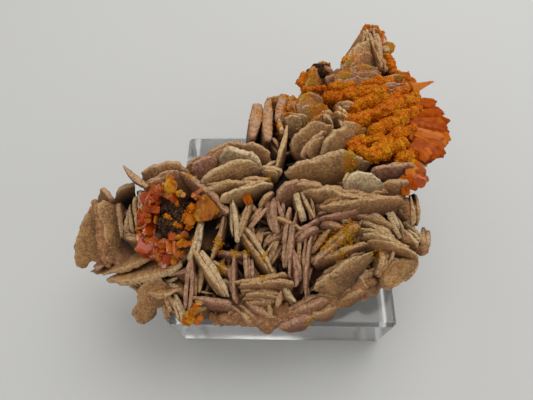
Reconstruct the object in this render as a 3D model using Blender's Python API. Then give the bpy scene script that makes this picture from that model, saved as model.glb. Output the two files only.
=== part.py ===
"""Wulfenite on matrix: orange wulfenite plates and a yellow-orange mimetite crust on a mass of
barite blades, set on a square block of clear acrylic.

Frame: origin at the centre of the block's underside, +Z up, +X to the right and +Y to the back
of the specimen. Values are in millimetres until put() turns them into metres.
"""

import math
import random

import bmesh
import bpy
from mathutils import Matrix, Vector, noise

MM = 0.001

# The stand, a stock size of cast acrylic: 2 x 2 x 3/4 inch.
BLOCK_SIDE = 50.8
BLOCK_HEIGHT = 19.0
BLOCK_BEVEL = 0.8

# Touching pieces keep this much clear of each other.
GAP = 0.3
SEAT = BLOCK_HEIGHT + GAP

# The tips of the blades lie on a hill: its crest runs along X at CREST_Y.
CREST_TOP = 43.0
CREST_Y = -2.0
FRONT_SLOPE = 0.62
FRONT_CURVE = 0.006
BACK_SLOPE = 0.17
LEFT_SHOULDER, LEFT_CURVE = -14.0, 0.012
RIGHT_SHOULDER, RIGHT_CURVE = 22.0, 0.010

UP = Vector((0, 0, 1))


def hill(x, y):
    """Height of the blades' tips at a place in plan."""
    front = max(0.0, CREST_Y - y)
    back = max(0.0, y - CREST_Y)
    left = max(0.0, LEFT_SHOULDER - x)
    right = max(0.0, x - RIGHT_SHOULDER)
    fall = FRONT_SLOPE * front + FRONT_CURVE * front**2 + BACK_SLOPE * back
    return CREST_TOP - fall - LEFT_CURVE * left**2 - RIGHT_CURVE * right**2


# Each blade is a thin plate that stands on its foot. A row gives, in millimetres and degrees:
# x, y of one end of its edge, x, y of the other end, thickness, depth below the edge,
# height of the edge over the hill, lean of the foot to the right of the way it runs,
# and how far the edge bows up between its ends.
BLADES_LEFT = [
    (-45.5, -13.0, -39.5, -4.0, 1.5, 12, -2.0, 50, 2.0),
    (-37.8, -15.0, -37.0, -1.0, 2.2, 9, 1.0, 50, 2.6),
    (-39.6, -5.0, -35.6, -1.2, 1.8, 7, 0.0, 25, 1.0),
    (-35.5, -2.8, -29.0, -1.2, 1.6, 9, 0.0, 25, 0.8),
    (-33.2, 2.2, -26.5, -3.5, 1.1, 4, 2.0, 0, 0.2),
    (-29.0, 0.0, -19.0, 1.0, 1.5, 9, 0.0, 30, 1.6),
    (-28.0, -2.8, -20.0, -0.3, 1.3, 9, 0.5, 30, 0.6),
    (-19.8, -0.4, -9.8, -8.6, 1.3, 7, 1.5, 15, 0.4),
    (-29.5, -10.0, -29.0, -4.2, 1.0, 6, 0.0, 0, 0.4),
    (-28.0, -8.0, -27.4, -3.4, 1.6, 6, 0.0, 10, 0.4),
    (-33.0, -10.5, -31.5, -5.0, 1.2, 6, -2.0, 20, 0.6),
    (-32.8, -10.6, -28.4, -11.8, 1.0, 4, 0.0, 0, 0.2),
    (-38.0, -16.6, -25.0, -14.6, 1.3, 9, 0.0, -55, 1.2),
    (-36.0, -18.0, -20.5, -16.5, 1.2, 8, 0.0, -55, 1.4),
    (-33.0, -19.2, -26.0, -20.4, 1.2, 6, -3.0, -40, 0.6),
    (-31.0, -24.6, -25.0, -18.4, 1.5, 4.6, -2.0, 62, 0.8),
    (-24.8, -18.8, -21.8, -25.0, 1.5, 6, 0.0, 10, 0.4),
    (-22.0, -21.5, -19.5, -27.0, 1.9, 5, 0.0, 10, 0.4),
    (-24.5, -19.0, -19.5, -20.7, 1.1, 5, -1.0, 10, 0.3),
]

BLADES_CENTRE = [
    (-15.5, -9.6, -17.8, -16.6, 1.7, 8, 0.5, 15, 0.4),
    (-17.4, -15.0, -19.6, -24.2, 1.4, 7, 0.5, 10, 0.4),
    (-16.0, -16.0, -16.7, -21.4, 1.1, 6, -0.5, 0, 0.3),
    (-16.6, -13.8, -10.3, -22.4, 1.9, 8, 1.0, 10, 0.4),
    (-11.0, -8.5, -14.3, -16.2, 1.1, 7, 0.0, 0, 0.3),
    (-18.2, -21.8, -9.6, -23.2, 1.3, 5, 0.5, 10, 0.3),
    (-10.2, -15.2, -9.5, -23.5, 1.5, 7, 0.5, -10, 0.4),
    (-9.4, -19.7, 2.2, -19.0, 1.7, 6, 1.5, 10, 0.7),
    (-8.2, -21.0, 0.2, -21.2, 1.6, 5, 0.5, 10, 0.5),
    (-7.6, -22.0, -1.0, -22.5, 1.4, 5, 0.0, 10, 0.4),
    (2.0, -7.6, 0.9, -19.2, 2.0, 9, 1.5, -10, 0.5),
    (2.5, -13.5, 3.9, -20.2, 1.5, 7, 0.5, 10, 0.4),
    (3.4, -12.6, 4.0, -18.6, 1.0, 6, 0.0, 0, 0.3),
    (5.4, -12.0, 4.4, -22.4, 1.2, 8, 1.0, -10, 0.4),
    (-6.8, -14.4, -6.5, -19.4, 1.3, 7, 0.0, 0, 0.3),
    (-7.3, -10.4, -1.2, -18.6, 1.4, 7, 0.5, 10, 0.4),
    (-0.2, -12.4, -2.9, -16.8, 1.5, 6, -0.5, 0, 0.4),
    (-3.6, -12.3, 1.0, -11.0, 1.3, 6, -1.0, 10, 0.3),
    (-12.9, -13.7, -6.6, -14.7, 1.2, 5, -1.5, 10, 0.3),
    (-7.0, -22.2, -2.0, -25.2, 1.5, 5, 0.0, 10, 0.3),
    (-8.6, -23.4, -4.8, -25.9, 1.8, 5, -0.3, 10, 0.3),
    (-9.4, -6.0, -8.9, -13.6, 1.4, 7, 1.0, 0, 0.5),
    (-6.2, -6.8, -8.4, -12.2, 1.3, 6, 1.0, 0, 0.4),
    (-2.9, -7.1, -6.8, -10.8, 1.6, 6, 0.5, 20, 0.4),
    (-2.3, -5.6, -1.1, -11.7, 2.2, 7, 0.0, -20, 0.5),
]

BLADES_RIGHT = [
    (5.2, -20.8, 17.2, -14.0, 1.6, 9, 0.5, 45, 2.6),
    (6.0, -16.1, 17.2, -12.5, 1.2, 6, 0.5, 10, 0.5),
    (5.7, -16.3, 15.0, -9.7, 1.4, 7, 1.0, 10, 0.5),
    (6.0, -14.8, 9.6, -10.1, 1.3, 6, 0.0, 0, 0.3),
    (2.2, -12.7, 7.8, -9.2, 1.6, 7, 0.5, 20, 0.5),
    (7.8, -9.2, 12.8, -10.7, 1.2, 5, 0.0, 10, 0.5),
    (2.9, -4.9, 4.9, -10.0, 1.5, 7, 0.5, 0, 0.4),
    (1.8, -3.0, 9.2, -3.8, 1.2, 6, 0.5, 25, 0.6),
    (4.0, -4.2, 16.8, -5.2, 1.6, 7, 0.5, 30, 1.0),
    (7.0, -7.0, 23.6, -5.6, 2.0, 7, 1.5, 25, 1.0),
    (7.0, -8.3, 17.2, -7.1, 1.4, 6, 0.5, 20, 0.5),
    (14.6, -7.8, 23.8, -11.7, 1.4, 7, 0.0, 25, 0.8),
    (20.0, -5.8, 24.6, -12.0, 1.5, 8, -1.0, -30, 0.8),
    (26.2, -4.6, 26.2, -10.2, 1.8, 6, -1.0, 0, 0.8),
    (24.3, -9.4, 28.8, -13.2, 1.9, 6, -1.0, 10, 0.6),
    (15.2, -11.0, 23.8, -12.2, 1.5, 6, 0.5, 10, 0.5),
    (16.8, -12.0, 27.8, -14.2, 1.6, 6, 0.5, 10, 0.6),
    (21.2, -14.2, 18.2, -19.0, 2.0, 7, 0.0, 10, 0.5),
    (24.6, -14.4, 20.6, -19.9, 2.6, 7, 0.3, -15, 0.6),
    (26.8, -14.8, 24.4, -18.6, 2.4, 5, -1.0, 10, 0.6),
    (-1.8, -26.4, 7.2, -24.0, 2.2, 5, -0.5, -15, 0.6),
    (4.8, -24.4, 12.4, -22.2, 2.2, 5, -0.8, -15, 0.6),
    (9.8, -22.2, 16.6, -19.6, 2.2, 5, -1.0, -15, 0.6),
    (12.2, -3.4, 19.8, -3.2, 1.4, 7, 0.5, 40, 2.2),
    (15.0, -4.5, 21.2, -4.0, 1.0, 6, 0.0, 20, 0.4),
    (19.3, -3.6, 25.2, -2.6, 1.5, 8, -0.5, 35, 1.2),
    (17.4, -0.6, 26.8, 1.8, 1.5, 7, 0.0, 30, 0.8),
]

BLADES_CREST = [
    (0.2, -1.2, 17.8, 2.6, 1.7, 11, 0.5, 35, 2.8),
    (7.4, 4.0, 18.2, 13.0, 1.5, 10, 0.5, 40, 2.6),
    (1.2, 5.8, 10.8, 11.8, 1.5, 9, 0.5, 45, 2.4),
    (4.0, 2.6, 9.4, 10.0, 1.2, 6, 1.2, 40, 0.8),
    (1.3, 11.6, -0.7, 0.0, 1.2, 6, 1.5, 0, 0.3),
    (-16.2, -2.6, -4.4, 0.4, 1.6, 9, 0.5, 35, 1.8),
    (-12.8, 4.2, -3.4, 0.6, 1.6, 8, 0.0, 40, 2.2),
    (-11.6, 7.6, -1.8, 3.0, 1.5, 8, 0.0, 40, 1.6),
    (-20.2, 1.4, -13.0, 4.4, 1.5, 8, -1.0, 40, 0.8),
    (-15.6, 4.0, -8.6, 8.2, 1.5, 8, -1.0, 40, 1.0),
    (-15.0, -4.1, -7.4, -2.9, 1.3, 7, 0.5, 30, 0.8),
    (-7.8, -3.0, -1.9, -2.6, 1.2, 6, 0.4, 25, 0.4),
    (-11.9, -6.1, -2.2, -2.8, 1.2, 6, 1.0, 25, 0.8),
    (-4.0, -0.2, 0.4, -1.3, 1.3, 5, 0.8, 20, 0.3),
    (-1.8, -5.3, 3.4, -2.5, 1.6, 7, 0.5, 35, 1.0),
]

BLADES_BACK = [
    (-7.5, 9.4, -4.5, 20.2, 1.8, 8, 0.0, 0, 1.0),
    (-5.3, 8.2, -2.8, 21.2, 1.8, 8, 0.5, 0, 1.0),
    (-0.5, 15.0, 0.1, 9.8, 1.2, 6, 0.0, 0, 0.4),
    (-2.8, 21.6, 3.2, 21.0, 1.5, 8, 0.0, 30, 0.4),
    (-0.6, 15.4, 5.8, 15.0, 1.3, 7, 0.3, 35, 0.5),
    (2.8, 21.4, 9.8, 22.6, 1.6, 9, 0.0, 40, 1.0),
    (11.8, 18.0, 16.2, 12.5, 1.8, 6, 0.5, 20, 0.5),
    (3.4, 17.4, 10.6, 19.4, 1.6, 7, -0.3, 40, 0.8),
    (6.4, 14.4, 11.4, 17.2, 1.5, 6, -0.5, 40, 0.6),
    (12.0, 20.0, 19.0, 18.4, 1.6, 6, -0.6, 35, 0.8),
    (4.4, 24.6, 8.2, 33.0, 2.6, 8, 0.0, 30, 1.0),
    (7.0, 33.0, 12.8, 33.2, 2.6, 8, 0.0, 30, 1.0),
    (10.2, 28.2, 18.8, 31.2, 1.6, 9, 0.0, 45, 0.8),
    (15.2, 35.2, 22.2, 42.8, 1.8, 8, 0.0, 30, 1.4),
    (24.6, 50.8, 24.8, 30.6, 1.8, 7, 1.5, 0, 0.5),
    (23.4, 50.0, 21.4, 40.6, 2.0, 6, 0.5, -15, 0.6),
    (24.0, 28.6, 30.4, 29.6, 1.4, 7, 0.0, 30, 0.4),
    (23.8, 26.2, 30.4, 27.0, 1.4, 7, 0.0, 30, 0.4),
    (24.2, 23.8, 29.6, 24.4, 1.4, 7, 0.0, 30, 0.4),
    (28.8, 31.4, 31.4, 23.8, 1.8, 6, -0.5, 10, 0.6),
]

BLADES = BLADES_LEFT + BLADES_CENTRE + BLADES_RIGHT + BLADES_CREST + BLADES_BACK

# Ridges of the mimetite crust, in the form of the blade tables.
CRUST_RIDGES = [
    (10.6, 21.8, 17.2, 23.2, 2.6, 5, 0.3, 25, 0.6),
    (16.0, 23.4, 23.8, 24.6, 2.8, 5, 0.3, 25, 0.8),
    (23.2, 24.4, 24.2, 18.6, 2.4, 5, 0.0, 0, 0.6),
    (16.0, 13.0, 23.6, 17.4, 2.6, 5, 0.5, 25, 0.6),
    (22.6, 16.9, 31.8, 22.8, 2.8, 5, 0.5, 25, 1.0),
    (20.4, 10.0, 28.2, 15.4, 2.8, 5, 0.3, 25, 0.8),
    (27.0, 14.6, 35.0, 20.0, 3.0, 5, 0.3, 25, 1.2),
    (21.0, 8.0, 29.6, 11.6, 2.6, 5, 0.0, 25, 0.8),
    (28.4, 11.2, 36.4, 14.0, 2.8, 5, 0.0, 25, 1.2),
    (15.6, 6.8, 22.8, 8.6, 2.2, 5, -0.2, 20, 0.6),
    (16.6, 3.8, 25.2, 5.6, 2.2, 5, -0.4, 20, 0.6),
]
CRUST_LUMPS = [
    ((24.5, 13.5, 35.0), (8.5, 10.0, 2.6)),
    ((17.0, 21.5, 35.6), (7.5, 5.0, 2.2)),
]

# Dark ore: the core inside the ring of wulfenite, and a lump on the upper edge.
DARK_LUMPS = {
    "dark_ore_core": [
        ((-21.6, -8.4, 35.4), (3.4, 3.6, 2.6)),
        ((-19.4, -6.2, 37.0), (2.2, 1.6, 1.6)),
    ],
    "dark_ore_lump": [
        ((9.8, 32.4, 36.0), (2.4, 2.0, 2.0)),
        ((7.6, 31.2, 35.8), (1.8, 1.8, 1.6)),
    ],
}

# Wulfenite grows as thin square tablets. A row gives, in millimetres and degrees: x, y,
# height over the hill, length, width, thickness, bearing of the length, tilt about the length.
TABLETS = {
    "wulfenite_ring": [
        (-27.0, -4.8, 0.2, 3.6, 3.4, 0.9, 20, 55),
        (-22.0, -4.6, 0.2, 4.6, 3.6, 1.2, 75, 62),
        (-26.0, -6.9, -0.2, 4.6, 3.0, 0.9, -12, 35),
        (-27.6, -8.4, 0.0, 3.8, 3.4, 1.0, 80, 60),
        (-28.0, -10.6, 0.2, 4.0, 3.2, 1.0, 105, 52),
        (-28.2, -12.8, 0.0, 3.8, 3.2, 1.0, 78, 68),
        (-26.4, -13.6, 0.2, 3.8, 3.4, 1.0, 55, 60),
        (-24.4, -13.6, 0.2, 3.4, 3.8, 1.0, 15, 50),
        (-22.2, -12.6, 0.6, 4.4, 4.2, 0.9, 100, 28),
        (-20.9, -13.8, 0.4, 4.8, 3.4, 0.9, 96, 74),
        (-27.2, -9.4, -2.2, 11.0, 3.2, 2.2, 86, 10),
        (-24.6, -13.8, -2.0, 8.6, 3.0, 2.0, -6, 10),
    ],
    "wulfenite_amber_plate": [
        (-14.6, -7.2, 0.6, 5.0, 4.9, 0.9, -20, 34),
        (-16.3, -5.2, 0.9, 3.2, 1.0, 0.7, 42, 40),
        (-15.9, -6.1, 1.0, 2.6, 0.8, 0.6, -38, 40),
    ],
    "wulfenite_centre_tablet": [
        (-6.7, -5.6, -0.4, 3.6, 2.6, 1.3, -62, 50),
    ],
    "wulfenite_front_cluster": [
        (-17.6, -24.6, 0.0, 4.4, 3.2, 1.3, -52, 40),
        (-18.4, -25.6, -0.4, 3.2, 2.8, 1.0, -10, 70),
        (-16.6, -25.8, -0.6, 3.2, 2.4, 1.1, 40, 55),
    ],
    "wulfenite_right_fan": [
        (31.6, 12.4, -1.2, 9.6, 7.0, 1.6, 18, 22),
        (32.0, 8.6, -1.6, 7.6, 5.6, 1.2, 4, 36),
        (31.6, 6.2, -2.6, 6.6, 5.0, 1.2, -12, 50),
        (34.6, 10.6, -1.4, 4.6, 4.0, 1.0, 70, 45),
        (29.6, 9.0, -4.2, 7.0, 6.0, 2.6, 30, 0),
    ],
    "wulfenite_spike": [
        (31.6, 24.2, 0.2, 9.0, 2.6, 1.3, 26, 40),
    ],
    "wulfenite_tip_tablet": [
        (26.9, 41.4, -2.0, 5.8, 3.0, 1.2, 74, 40),
    ],
    "wulfenite_side_cluster": [
        (27.0, -0.6, -0.6, 4.6, 3.2, 1.4, -70, 40),
        (26.6, -2.8, -0.8, 3.6, 3.0, 1.2, -20, 50),
    ],
}

# The rubble that the blades grow from: centre and half-sizes of each lump.
CORE_LUMPS = [
    ((-5, -11, 25.0), (19, 14, 6.5)),
    ((-28, -9, 25.0), (13, 8, 5.5)),
    ((14, -11, 25.5), (14, 9, 6.0)),
    ((0, 1, 29.0), (19, 8, 8.0)),
    ((12, 13, 28.5), (14, 12, 6.5)),
    ((26, 15, 29.0), (8, 9, 5.5)),
    ((18, 29, 27.5), (11, 9, 5.0)),
    ((24.2, 41, 29.0), (4.4, 9, 4.4)),
]

# Small blades that cover the sides and the underside.
SIDE_BLADES = 20
SIDE_SEED = 11
SIDE_HEIGHT = (-65, 5)  # degrees over the horizon
SIDE_STANDOFF = (1.0, 2.2)
SIDE_HALF_LENGTH = (2.5, 4.8)
SIDE_THICKNESS = (0.9, 1.7)
SIDE_DEPTH = (4.0, 5.0)
SIDE_BOW = (0.4, 1.4)

# How far lumps bulge in and out, as a share of their size, and how close the bulges are.
CORE_ROUGHNESS = 0.16
CRUST_ROUGHNESS = 0.3
BULGE_PITCH = 1.7
BULGE_SHIFT = 0.13
CRUST_SEED = 5

# Outlines: blades over LONG_BLADE have more sides, and every blade thins towards its ends.
TABLET_SIDES = 8
LONG_SIDES = 8
SHORT_SIDES = 6
LONG_BLADE = 16.5
END_THINNING = 0.62
CORNER_JITTER = 0.05

# The box that cuts everything flat at the seat.
BELOW_SIZE = 160.0


def clear_scene():
    for thing in list(bpy.data.objects):
        bpy.data.objects.remove(thing)


def material(name, colour, roughness, metallic=0.0, alpha=1.0):
    made = bpy.data.materials.new(name)
    made.use_nodes = True
    shader = made.node_tree.nodes["Principled BSDF"]
    shader.inputs["Base Color"].default_value = (*colour, 1.0)
    shader.inputs["Roughness"].default_value = roughness
    shader.inputs["Metallic"].default_value = metallic
    shader.inputs["Alpha"].default_value = alpha
    return made


def put(bm, name, collection, finish=None):
    """A bmesh in millimetres becomes an object in metres."""
    bmesh.ops.transform(bm, matrix=Matrix.Scale(MM, 4), verts=bm.verts)
    bmesh.ops.recalc_face_normals(bm, faces=bm.faces)
    mesh = bpy.data.meshes.new(name)
    bm.to_mesh(mesh)
    bm.free()
    thing = bpy.data.objects.new(name, mesh)
    collection.objects.link(thing)
    if finish:
        mesh.materials.append(finish)
    return thing


def add_plate(bm, centre, along, down, half, thickness, depth, bow, sides, dice):
    """Adds one plate to bm: a flat prism whose outline is bowed above and deep below its edge,
    and which thins towards the two ends of the edge."""
    normal = along.cross(down).normalized()
    made = bmesh.ops.create_cone(
        bm, cap_ends=True, segments=sides, radius1=1, radius2=1, depth=1
    )
    for vert in made["verts"]:
        turn = math.atan2(vert.co.y, vert.co.x) + math.pi / sides
        share, rise = math.cos(turn), math.sin(turn)
        drop = depth * -rise if rise < 0 else -bow * rise
        thick = thickness * (1 - END_THINNING * share**2)
        rough = 1 + dice.uniform(-CORNER_JITTER, CORNER_JITTER)
        vert.co = (
            centre
            + along * (half * share * rough)
            + down * drop
            + normal * (vert.co.z * thick)
        )


def add_blade(bm, row, dice, grow=0.0):
    """Adds a blade of the tables; grow makes it larger all round."""
    x1, y1, x2, y2, thickness, depth, lift, lean, bow = row
    start = Vector((x1, y1, hill(x1, y1) + lift))
    end = Vector((x2, y2, hill(x2, y2) + lift))
    along = (end - start).normalized()
    side = along.cross(UP).normalized()
    lean = math.radians(lean)
    down = side * math.sin(lean) - UP * math.cos(lean)
    down = (down - along * down.dot(along)).normalized()
    length = (end - start).length
    sides = SHORT_SIDES if length < LONG_BLADE else LONG_SIDES
    half = length / 2 / math.cos(math.pi / sides)
    add_plate(
        bm,
        (start + end) / 2,
        along,
        down,
        half + grow,
        thickness + 2 * grow,
        depth + grow,
        bow + grow,
        sides,
        dice,
    )


def add_lump(bm, centre, sizes, roughness, grow=0.0):
    made = bmesh.ops.create_icosphere(bm, subdivisions=2, radius=1)
    for vert in made["verts"]:
        spot = vert.co * BULGE_PITCH + Vector(centre) * BULGE_SHIFT
        bump = 1 + roughness * noise.noise(spot)
        vert.co = Vector(
            c + v * (s + grow) * bump for c, v, s in zip(centre, vert.co, sizes)
        )


def add_tablet(bm, row, grow=0.0):
    """Adds a square tablet of wulfenite with its corners cut off."""
    x, y, lift, length, width, thickness, bearing, tilt = row
    made = bmesh.ops.create_cone(
        bm, cap_ends=True, segments=TABLET_SIDES, radius1=1, radius2=1, depth=1
    )
    corner = math.cos(math.pi / TABLET_SIDES)
    sizes = Matrix.Diagonal(
        (
            (length / 2 + grow) / corner,
            (width / 2 + grow) / corner,
            thickness + 2 * grow,
            1,
        )
    )
    phase = Matrix.Rotation(math.pi / TABLET_SIDES, 4, "Z")
    place = Matrix.Translation((x, y, hill(x, y) + lift))
    turn = Matrix.Rotation(math.radians(bearing), 4, "Z")
    lean = Matrix.Rotation(math.radians(tilt), 4, "X")
    bmesh.ops.transform(
        bm, matrix=place @ turn @ lean @ sizes @ phase, verts=made["verts"]
    )


def add_side_blades(bm, dice):
    """Small blades that point out of the flanks and the underside of the rubble."""
    for _ in range(SIDE_BLADES):
        centre, sizes = dice.choice(CORE_LUMPS)
        bearing = dice.uniform(0, 2 * math.pi)
        height = math.radians(dice.uniform(*SIDE_HEIGHT))
        way = Matrix.Rotation(bearing, 3, "Z") @ Matrix.Rotation(-height, 3, "Y") @ Vector((1, 0, 0))
        edge = Vector(c + w * s for c, w, s in zip(centre, way, sizes))
        out = Vector(w / s for w, s in zip(way, sizes)).normalized()
        along = out.cross(Vector((dice.gauss(0, 1), dice.gauss(0, 1), 0.4))).normalized()
        add_plate(
            bm,
            edge + out * dice.uniform(*SIDE_STANDOFF),
            along,
            -out,
            dice.uniform(*SIDE_HALF_LENGTH),
            dice.uniform(*SIDE_THICKNESS),
            dice.uniform(*SIDE_DEPTH),
            dice.uniform(*SIDE_BOW),
            SHORT_SIDES,
            dice,
        )


def settle(thing):
    """Gives a thing the shape its modifiers make, as one closed piece: of the surfaces that come
    out, the largest is the outside, and the rest are cavities and crumbs."""
    graph = bpy.context.evaluated_depsgraph_get()
    shaped = bmesh.new()
    shaped.from_mesh(thing.evaluated_get(graph).to_mesh())
    thing.modifiers.clear()
    pieces = []
    waiting = set(shaped.faces)
    while waiting:
        piece = [waiting.pop()]
        for face in piece:
            near = {other for edge in face.edges for other in edge.link_faces} & waiting
            waiting -= near
            piece.extend(near)
        pieces.append(piece)
    pieces.sort(key=len)
    for piece in pieces[:-1]:
        bmesh.ops.delete(shaped, geom=piece, context="FACES")
    loose = [vert for vert in shaped.verts if not vert.link_faces]
    bmesh.ops.delete(shaped, geom=loose, context="VERTS")
    middles = [vert for vert in shaped.verts if len(vert.link_edges) == 2]
    bmesh.ops.dissolve_verts(shaped, verts=middles)
    bmesh.ops.triangulate(shaped, faces=shaped.faces)
    shaped.to_mesh(thing.data)
    shaped.free()


def difference(piece, tool, solver, within=False):
    """Cuts a piece with a tool, and makes one closed piece of what is left."""
    step = piece.modifiers.new("cut", "BOOLEAN")
    step.operation = "DIFFERENCE"
    step.object = tool
    step.solver = solver
    if within:
        step.use_self = True
    settle(piece)


def cut_tool(bm, name, collection):
    tool = put(bm, name, collection)
    tool.hide_render = True
    tool.display_type = "WIRE"
    return tool


def grown_together(piece, seat):
    """Joins the overlapping shapes of one mesh, and cuts off what lies below the seat."""
    difference(piece, seat, "EXACT", within=True)
    return piece


def make_room(piece, rooms):
    """Cuts a piece clear of its neighbours. The exact solver loses a piece with this many
    faces here, and the manifold solver keeps it."""
    for room in rooms:
        difference(piece, room, "MANIFOLD")


def mineral(name, add, finish, parts, cutters, seat):
    """Makes a piece from the function that adds its shapes, and its room: the same piece made
    larger by the gap, which its neighbours are cut with."""
    shapes = bmesh.new()
    add(shapes, 0.0)
    piece = grown_together(put(shapes, name, parts, finish), seat)
    larger = bmesh.new()
    add(larger, GAP)
    room = grown_together(cut_tool(larger, name + "_room", cutters), seat)
    return piece, room


def tablets(rows):
    def add(bm, grow):
        for row in rows:
            add_tablet(bm, row, grow)

    return add


def lumps(rows, ridges=()):
    def add(bm, grow):
        for centre, sizes in rows:
            add_lump(bm, centre, sizes, CRUST_ROUGHNESS, grow)
        dice = random.Random(CRUST_SEED)
        for row in ridges:
            add_blade(bm, row, dice, grow)

    return add


def make_block(parts, finish):
    block = bmesh.new()
    bmesh.ops.create_cube(block, size=1)
    bmesh.ops.scale(block, vec=(BLOCK_SIDE, BLOCK_SIDE, BLOCK_HEIGHT), verts=block.verts)
    bmesh.ops.translate(block, vec=(0, 0, BLOCK_HEIGHT / 2), verts=block.verts)
    bmesh.ops.bevel(block, geom=block.edges, offset=BLOCK_BEVEL, segments=1, affect="EDGES")
    put(block, "acrylic_block", parts, finish)


def make_seat(cutters):
    below = bmesh.new()
    bmesh.ops.create_cube(below, size=BELOW_SIZE)
    bmesh.ops.translate(below, vec=(0, 0, SEAT - BELOW_SIZE / 2), verts=below.verts)
    return cut_tool(below, "seat", cutters)


def make_minerals(parts, cutters, seat):
    """Wulfenite is whole. Ore makes room for wulfenite, and the crust for both."""
    wulfenite = material("wulfenite", (0.80, 0.25, 0.03), 0.25)
    dark_ore = material("dark_ore", (0.06, 0.045, 0.04), 0.6)
    mimetite = material("mimetite", (0.72, 0.32, 0.02), 0.7)

    rooms = []
    for name, rows in TABLETS.items():
        _, room = mineral(name, tablets(rows), wulfenite, parts, cutters, seat)
        rooms.append(room)
    ore_rooms = []
    for name, rows in DARK_LUMPS.items():
        ore, room = mineral(name, lumps(rows), dark_ore, parts, cutters, seat)
        make_room(ore, rooms)
        ore_rooms.append(room)
    rooms += ore_rooms
    add_crust = lumps(CRUST_LUMPS, CRUST_RIDGES)
    crust, room = mineral("mimetite_crust", add_crust, mimetite, parts, cutters, seat)
    make_room(crust, rooms)
    rooms.append(room)
    return rooms


def make_matrix(parts, seat, rooms):
    """The barite: rubble and every blade, grown into one piece, clear of the other minerals."""
    barite = material("barite", (0.52, 0.38, 0.27), 0.85)
    dice = random.Random(SIDE_SEED)
    shapes = bmesh.new()
    for centre, sizes in CORE_LUMPS:
        add_lump(shapes, centre, sizes, CORE_ROUGHNESS)
    for row in BLADES:
        add_blade(shapes, row, dice)
    add_side_blades(shapes, dice)
    matrix = grown_together(put(shapes, "barite_matrix", parts, barite), seat)
    make_room(matrix, rooms)


def main():
    clear_scene()
    parts = bpy.data.collections.new("wulfenite_on_matrix")
    cutters = bpy.data.collections.new("cutters")
    for collection in (parts, cutters):
        bpy.context.scene.collection.children.link(collection)

    make_block(parts, material("acrylic", (0.92, 0.94, 0.95), 0.05, alpha=0.25))
    seat = make_seat(cutters)
    rooms = make_minerals(parts, cutters, seat)
    make_matrix(parts, seat, rooms)


main()
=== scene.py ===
# %% [markdown]
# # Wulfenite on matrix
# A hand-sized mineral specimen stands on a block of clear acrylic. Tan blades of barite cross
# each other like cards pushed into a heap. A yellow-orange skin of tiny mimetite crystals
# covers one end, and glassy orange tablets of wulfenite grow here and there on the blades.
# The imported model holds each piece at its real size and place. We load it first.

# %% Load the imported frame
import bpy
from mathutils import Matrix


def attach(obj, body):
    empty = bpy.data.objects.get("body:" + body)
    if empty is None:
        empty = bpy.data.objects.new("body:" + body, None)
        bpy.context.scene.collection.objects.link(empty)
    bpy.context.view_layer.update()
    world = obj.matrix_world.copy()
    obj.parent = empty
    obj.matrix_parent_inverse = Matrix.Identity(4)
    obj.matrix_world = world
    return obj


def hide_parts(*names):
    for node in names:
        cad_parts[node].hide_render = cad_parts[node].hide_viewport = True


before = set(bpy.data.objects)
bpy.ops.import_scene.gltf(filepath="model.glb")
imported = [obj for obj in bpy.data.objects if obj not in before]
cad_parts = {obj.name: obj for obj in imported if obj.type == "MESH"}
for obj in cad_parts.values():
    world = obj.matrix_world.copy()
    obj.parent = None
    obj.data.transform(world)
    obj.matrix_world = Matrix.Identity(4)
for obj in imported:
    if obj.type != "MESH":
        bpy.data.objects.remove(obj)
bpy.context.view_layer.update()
print("nodes:", sorted(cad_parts))

# %% [markdown]
# Python's own random numbers are seeded, so that every run makes the same stone. Numbers for
# the shapes are in millimetres, because that is how a collector measures a specimen, and one
# factor turns them to metres when a mesh is made.

# %% Tools and units
import math
import random

import bmesh
import bpy
import numpy as np
from mathutils import Matrix, Vector, noise

MM = 0.001
SEAT = 19.3  # the stone stands just clear of the block, which is 19 mm high
UP = np.array((0.0, 0.0, 1.0))

# %% [markdown]
# The tips of the blades lie on one smooth hill, as if the heap had been stroked with a hand.
# With a formula for that hill, a blade needs only the two ends of its edge in plan, and its
# height follows. The formula works on single numbers and on whole arrays of points.

# %% The hill that the tips lie on
CREST_TOP, CREST_Y = 43.0, -2.0
FRONT_SLOPE, FRONT_CURVE, BACK_SLOPE = 0.62, 0.006, 0.17
LEFT_SHOULDER, LEFT_CURVE = -14.0, 0.012
RIGHT_SHOULDER, RIGHT_CURVE = 22.0, 0.010


def hill(x, y):
    front, back = np.maximum(0, CREST_Y - y), np.maximum(0, y - CREST_Y)
    left, right = np.maximum(0, LEFT_SHOULDER - x), np.maximum(0, x - RIGHT_SHOULDER)
    fall = FRONT_SLOPE * front + FRONT_CURVE * front**2 + BACK_SLOPE * back
    return CREST_TOP - fall - LEFT_CURVE * left**2 - RIGHT_CURVE * right**2


print("crest at", round(float(hill(0, 0)), 1), "mm, front rim at", round(float(hill(0, -27)), 1))
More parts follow.
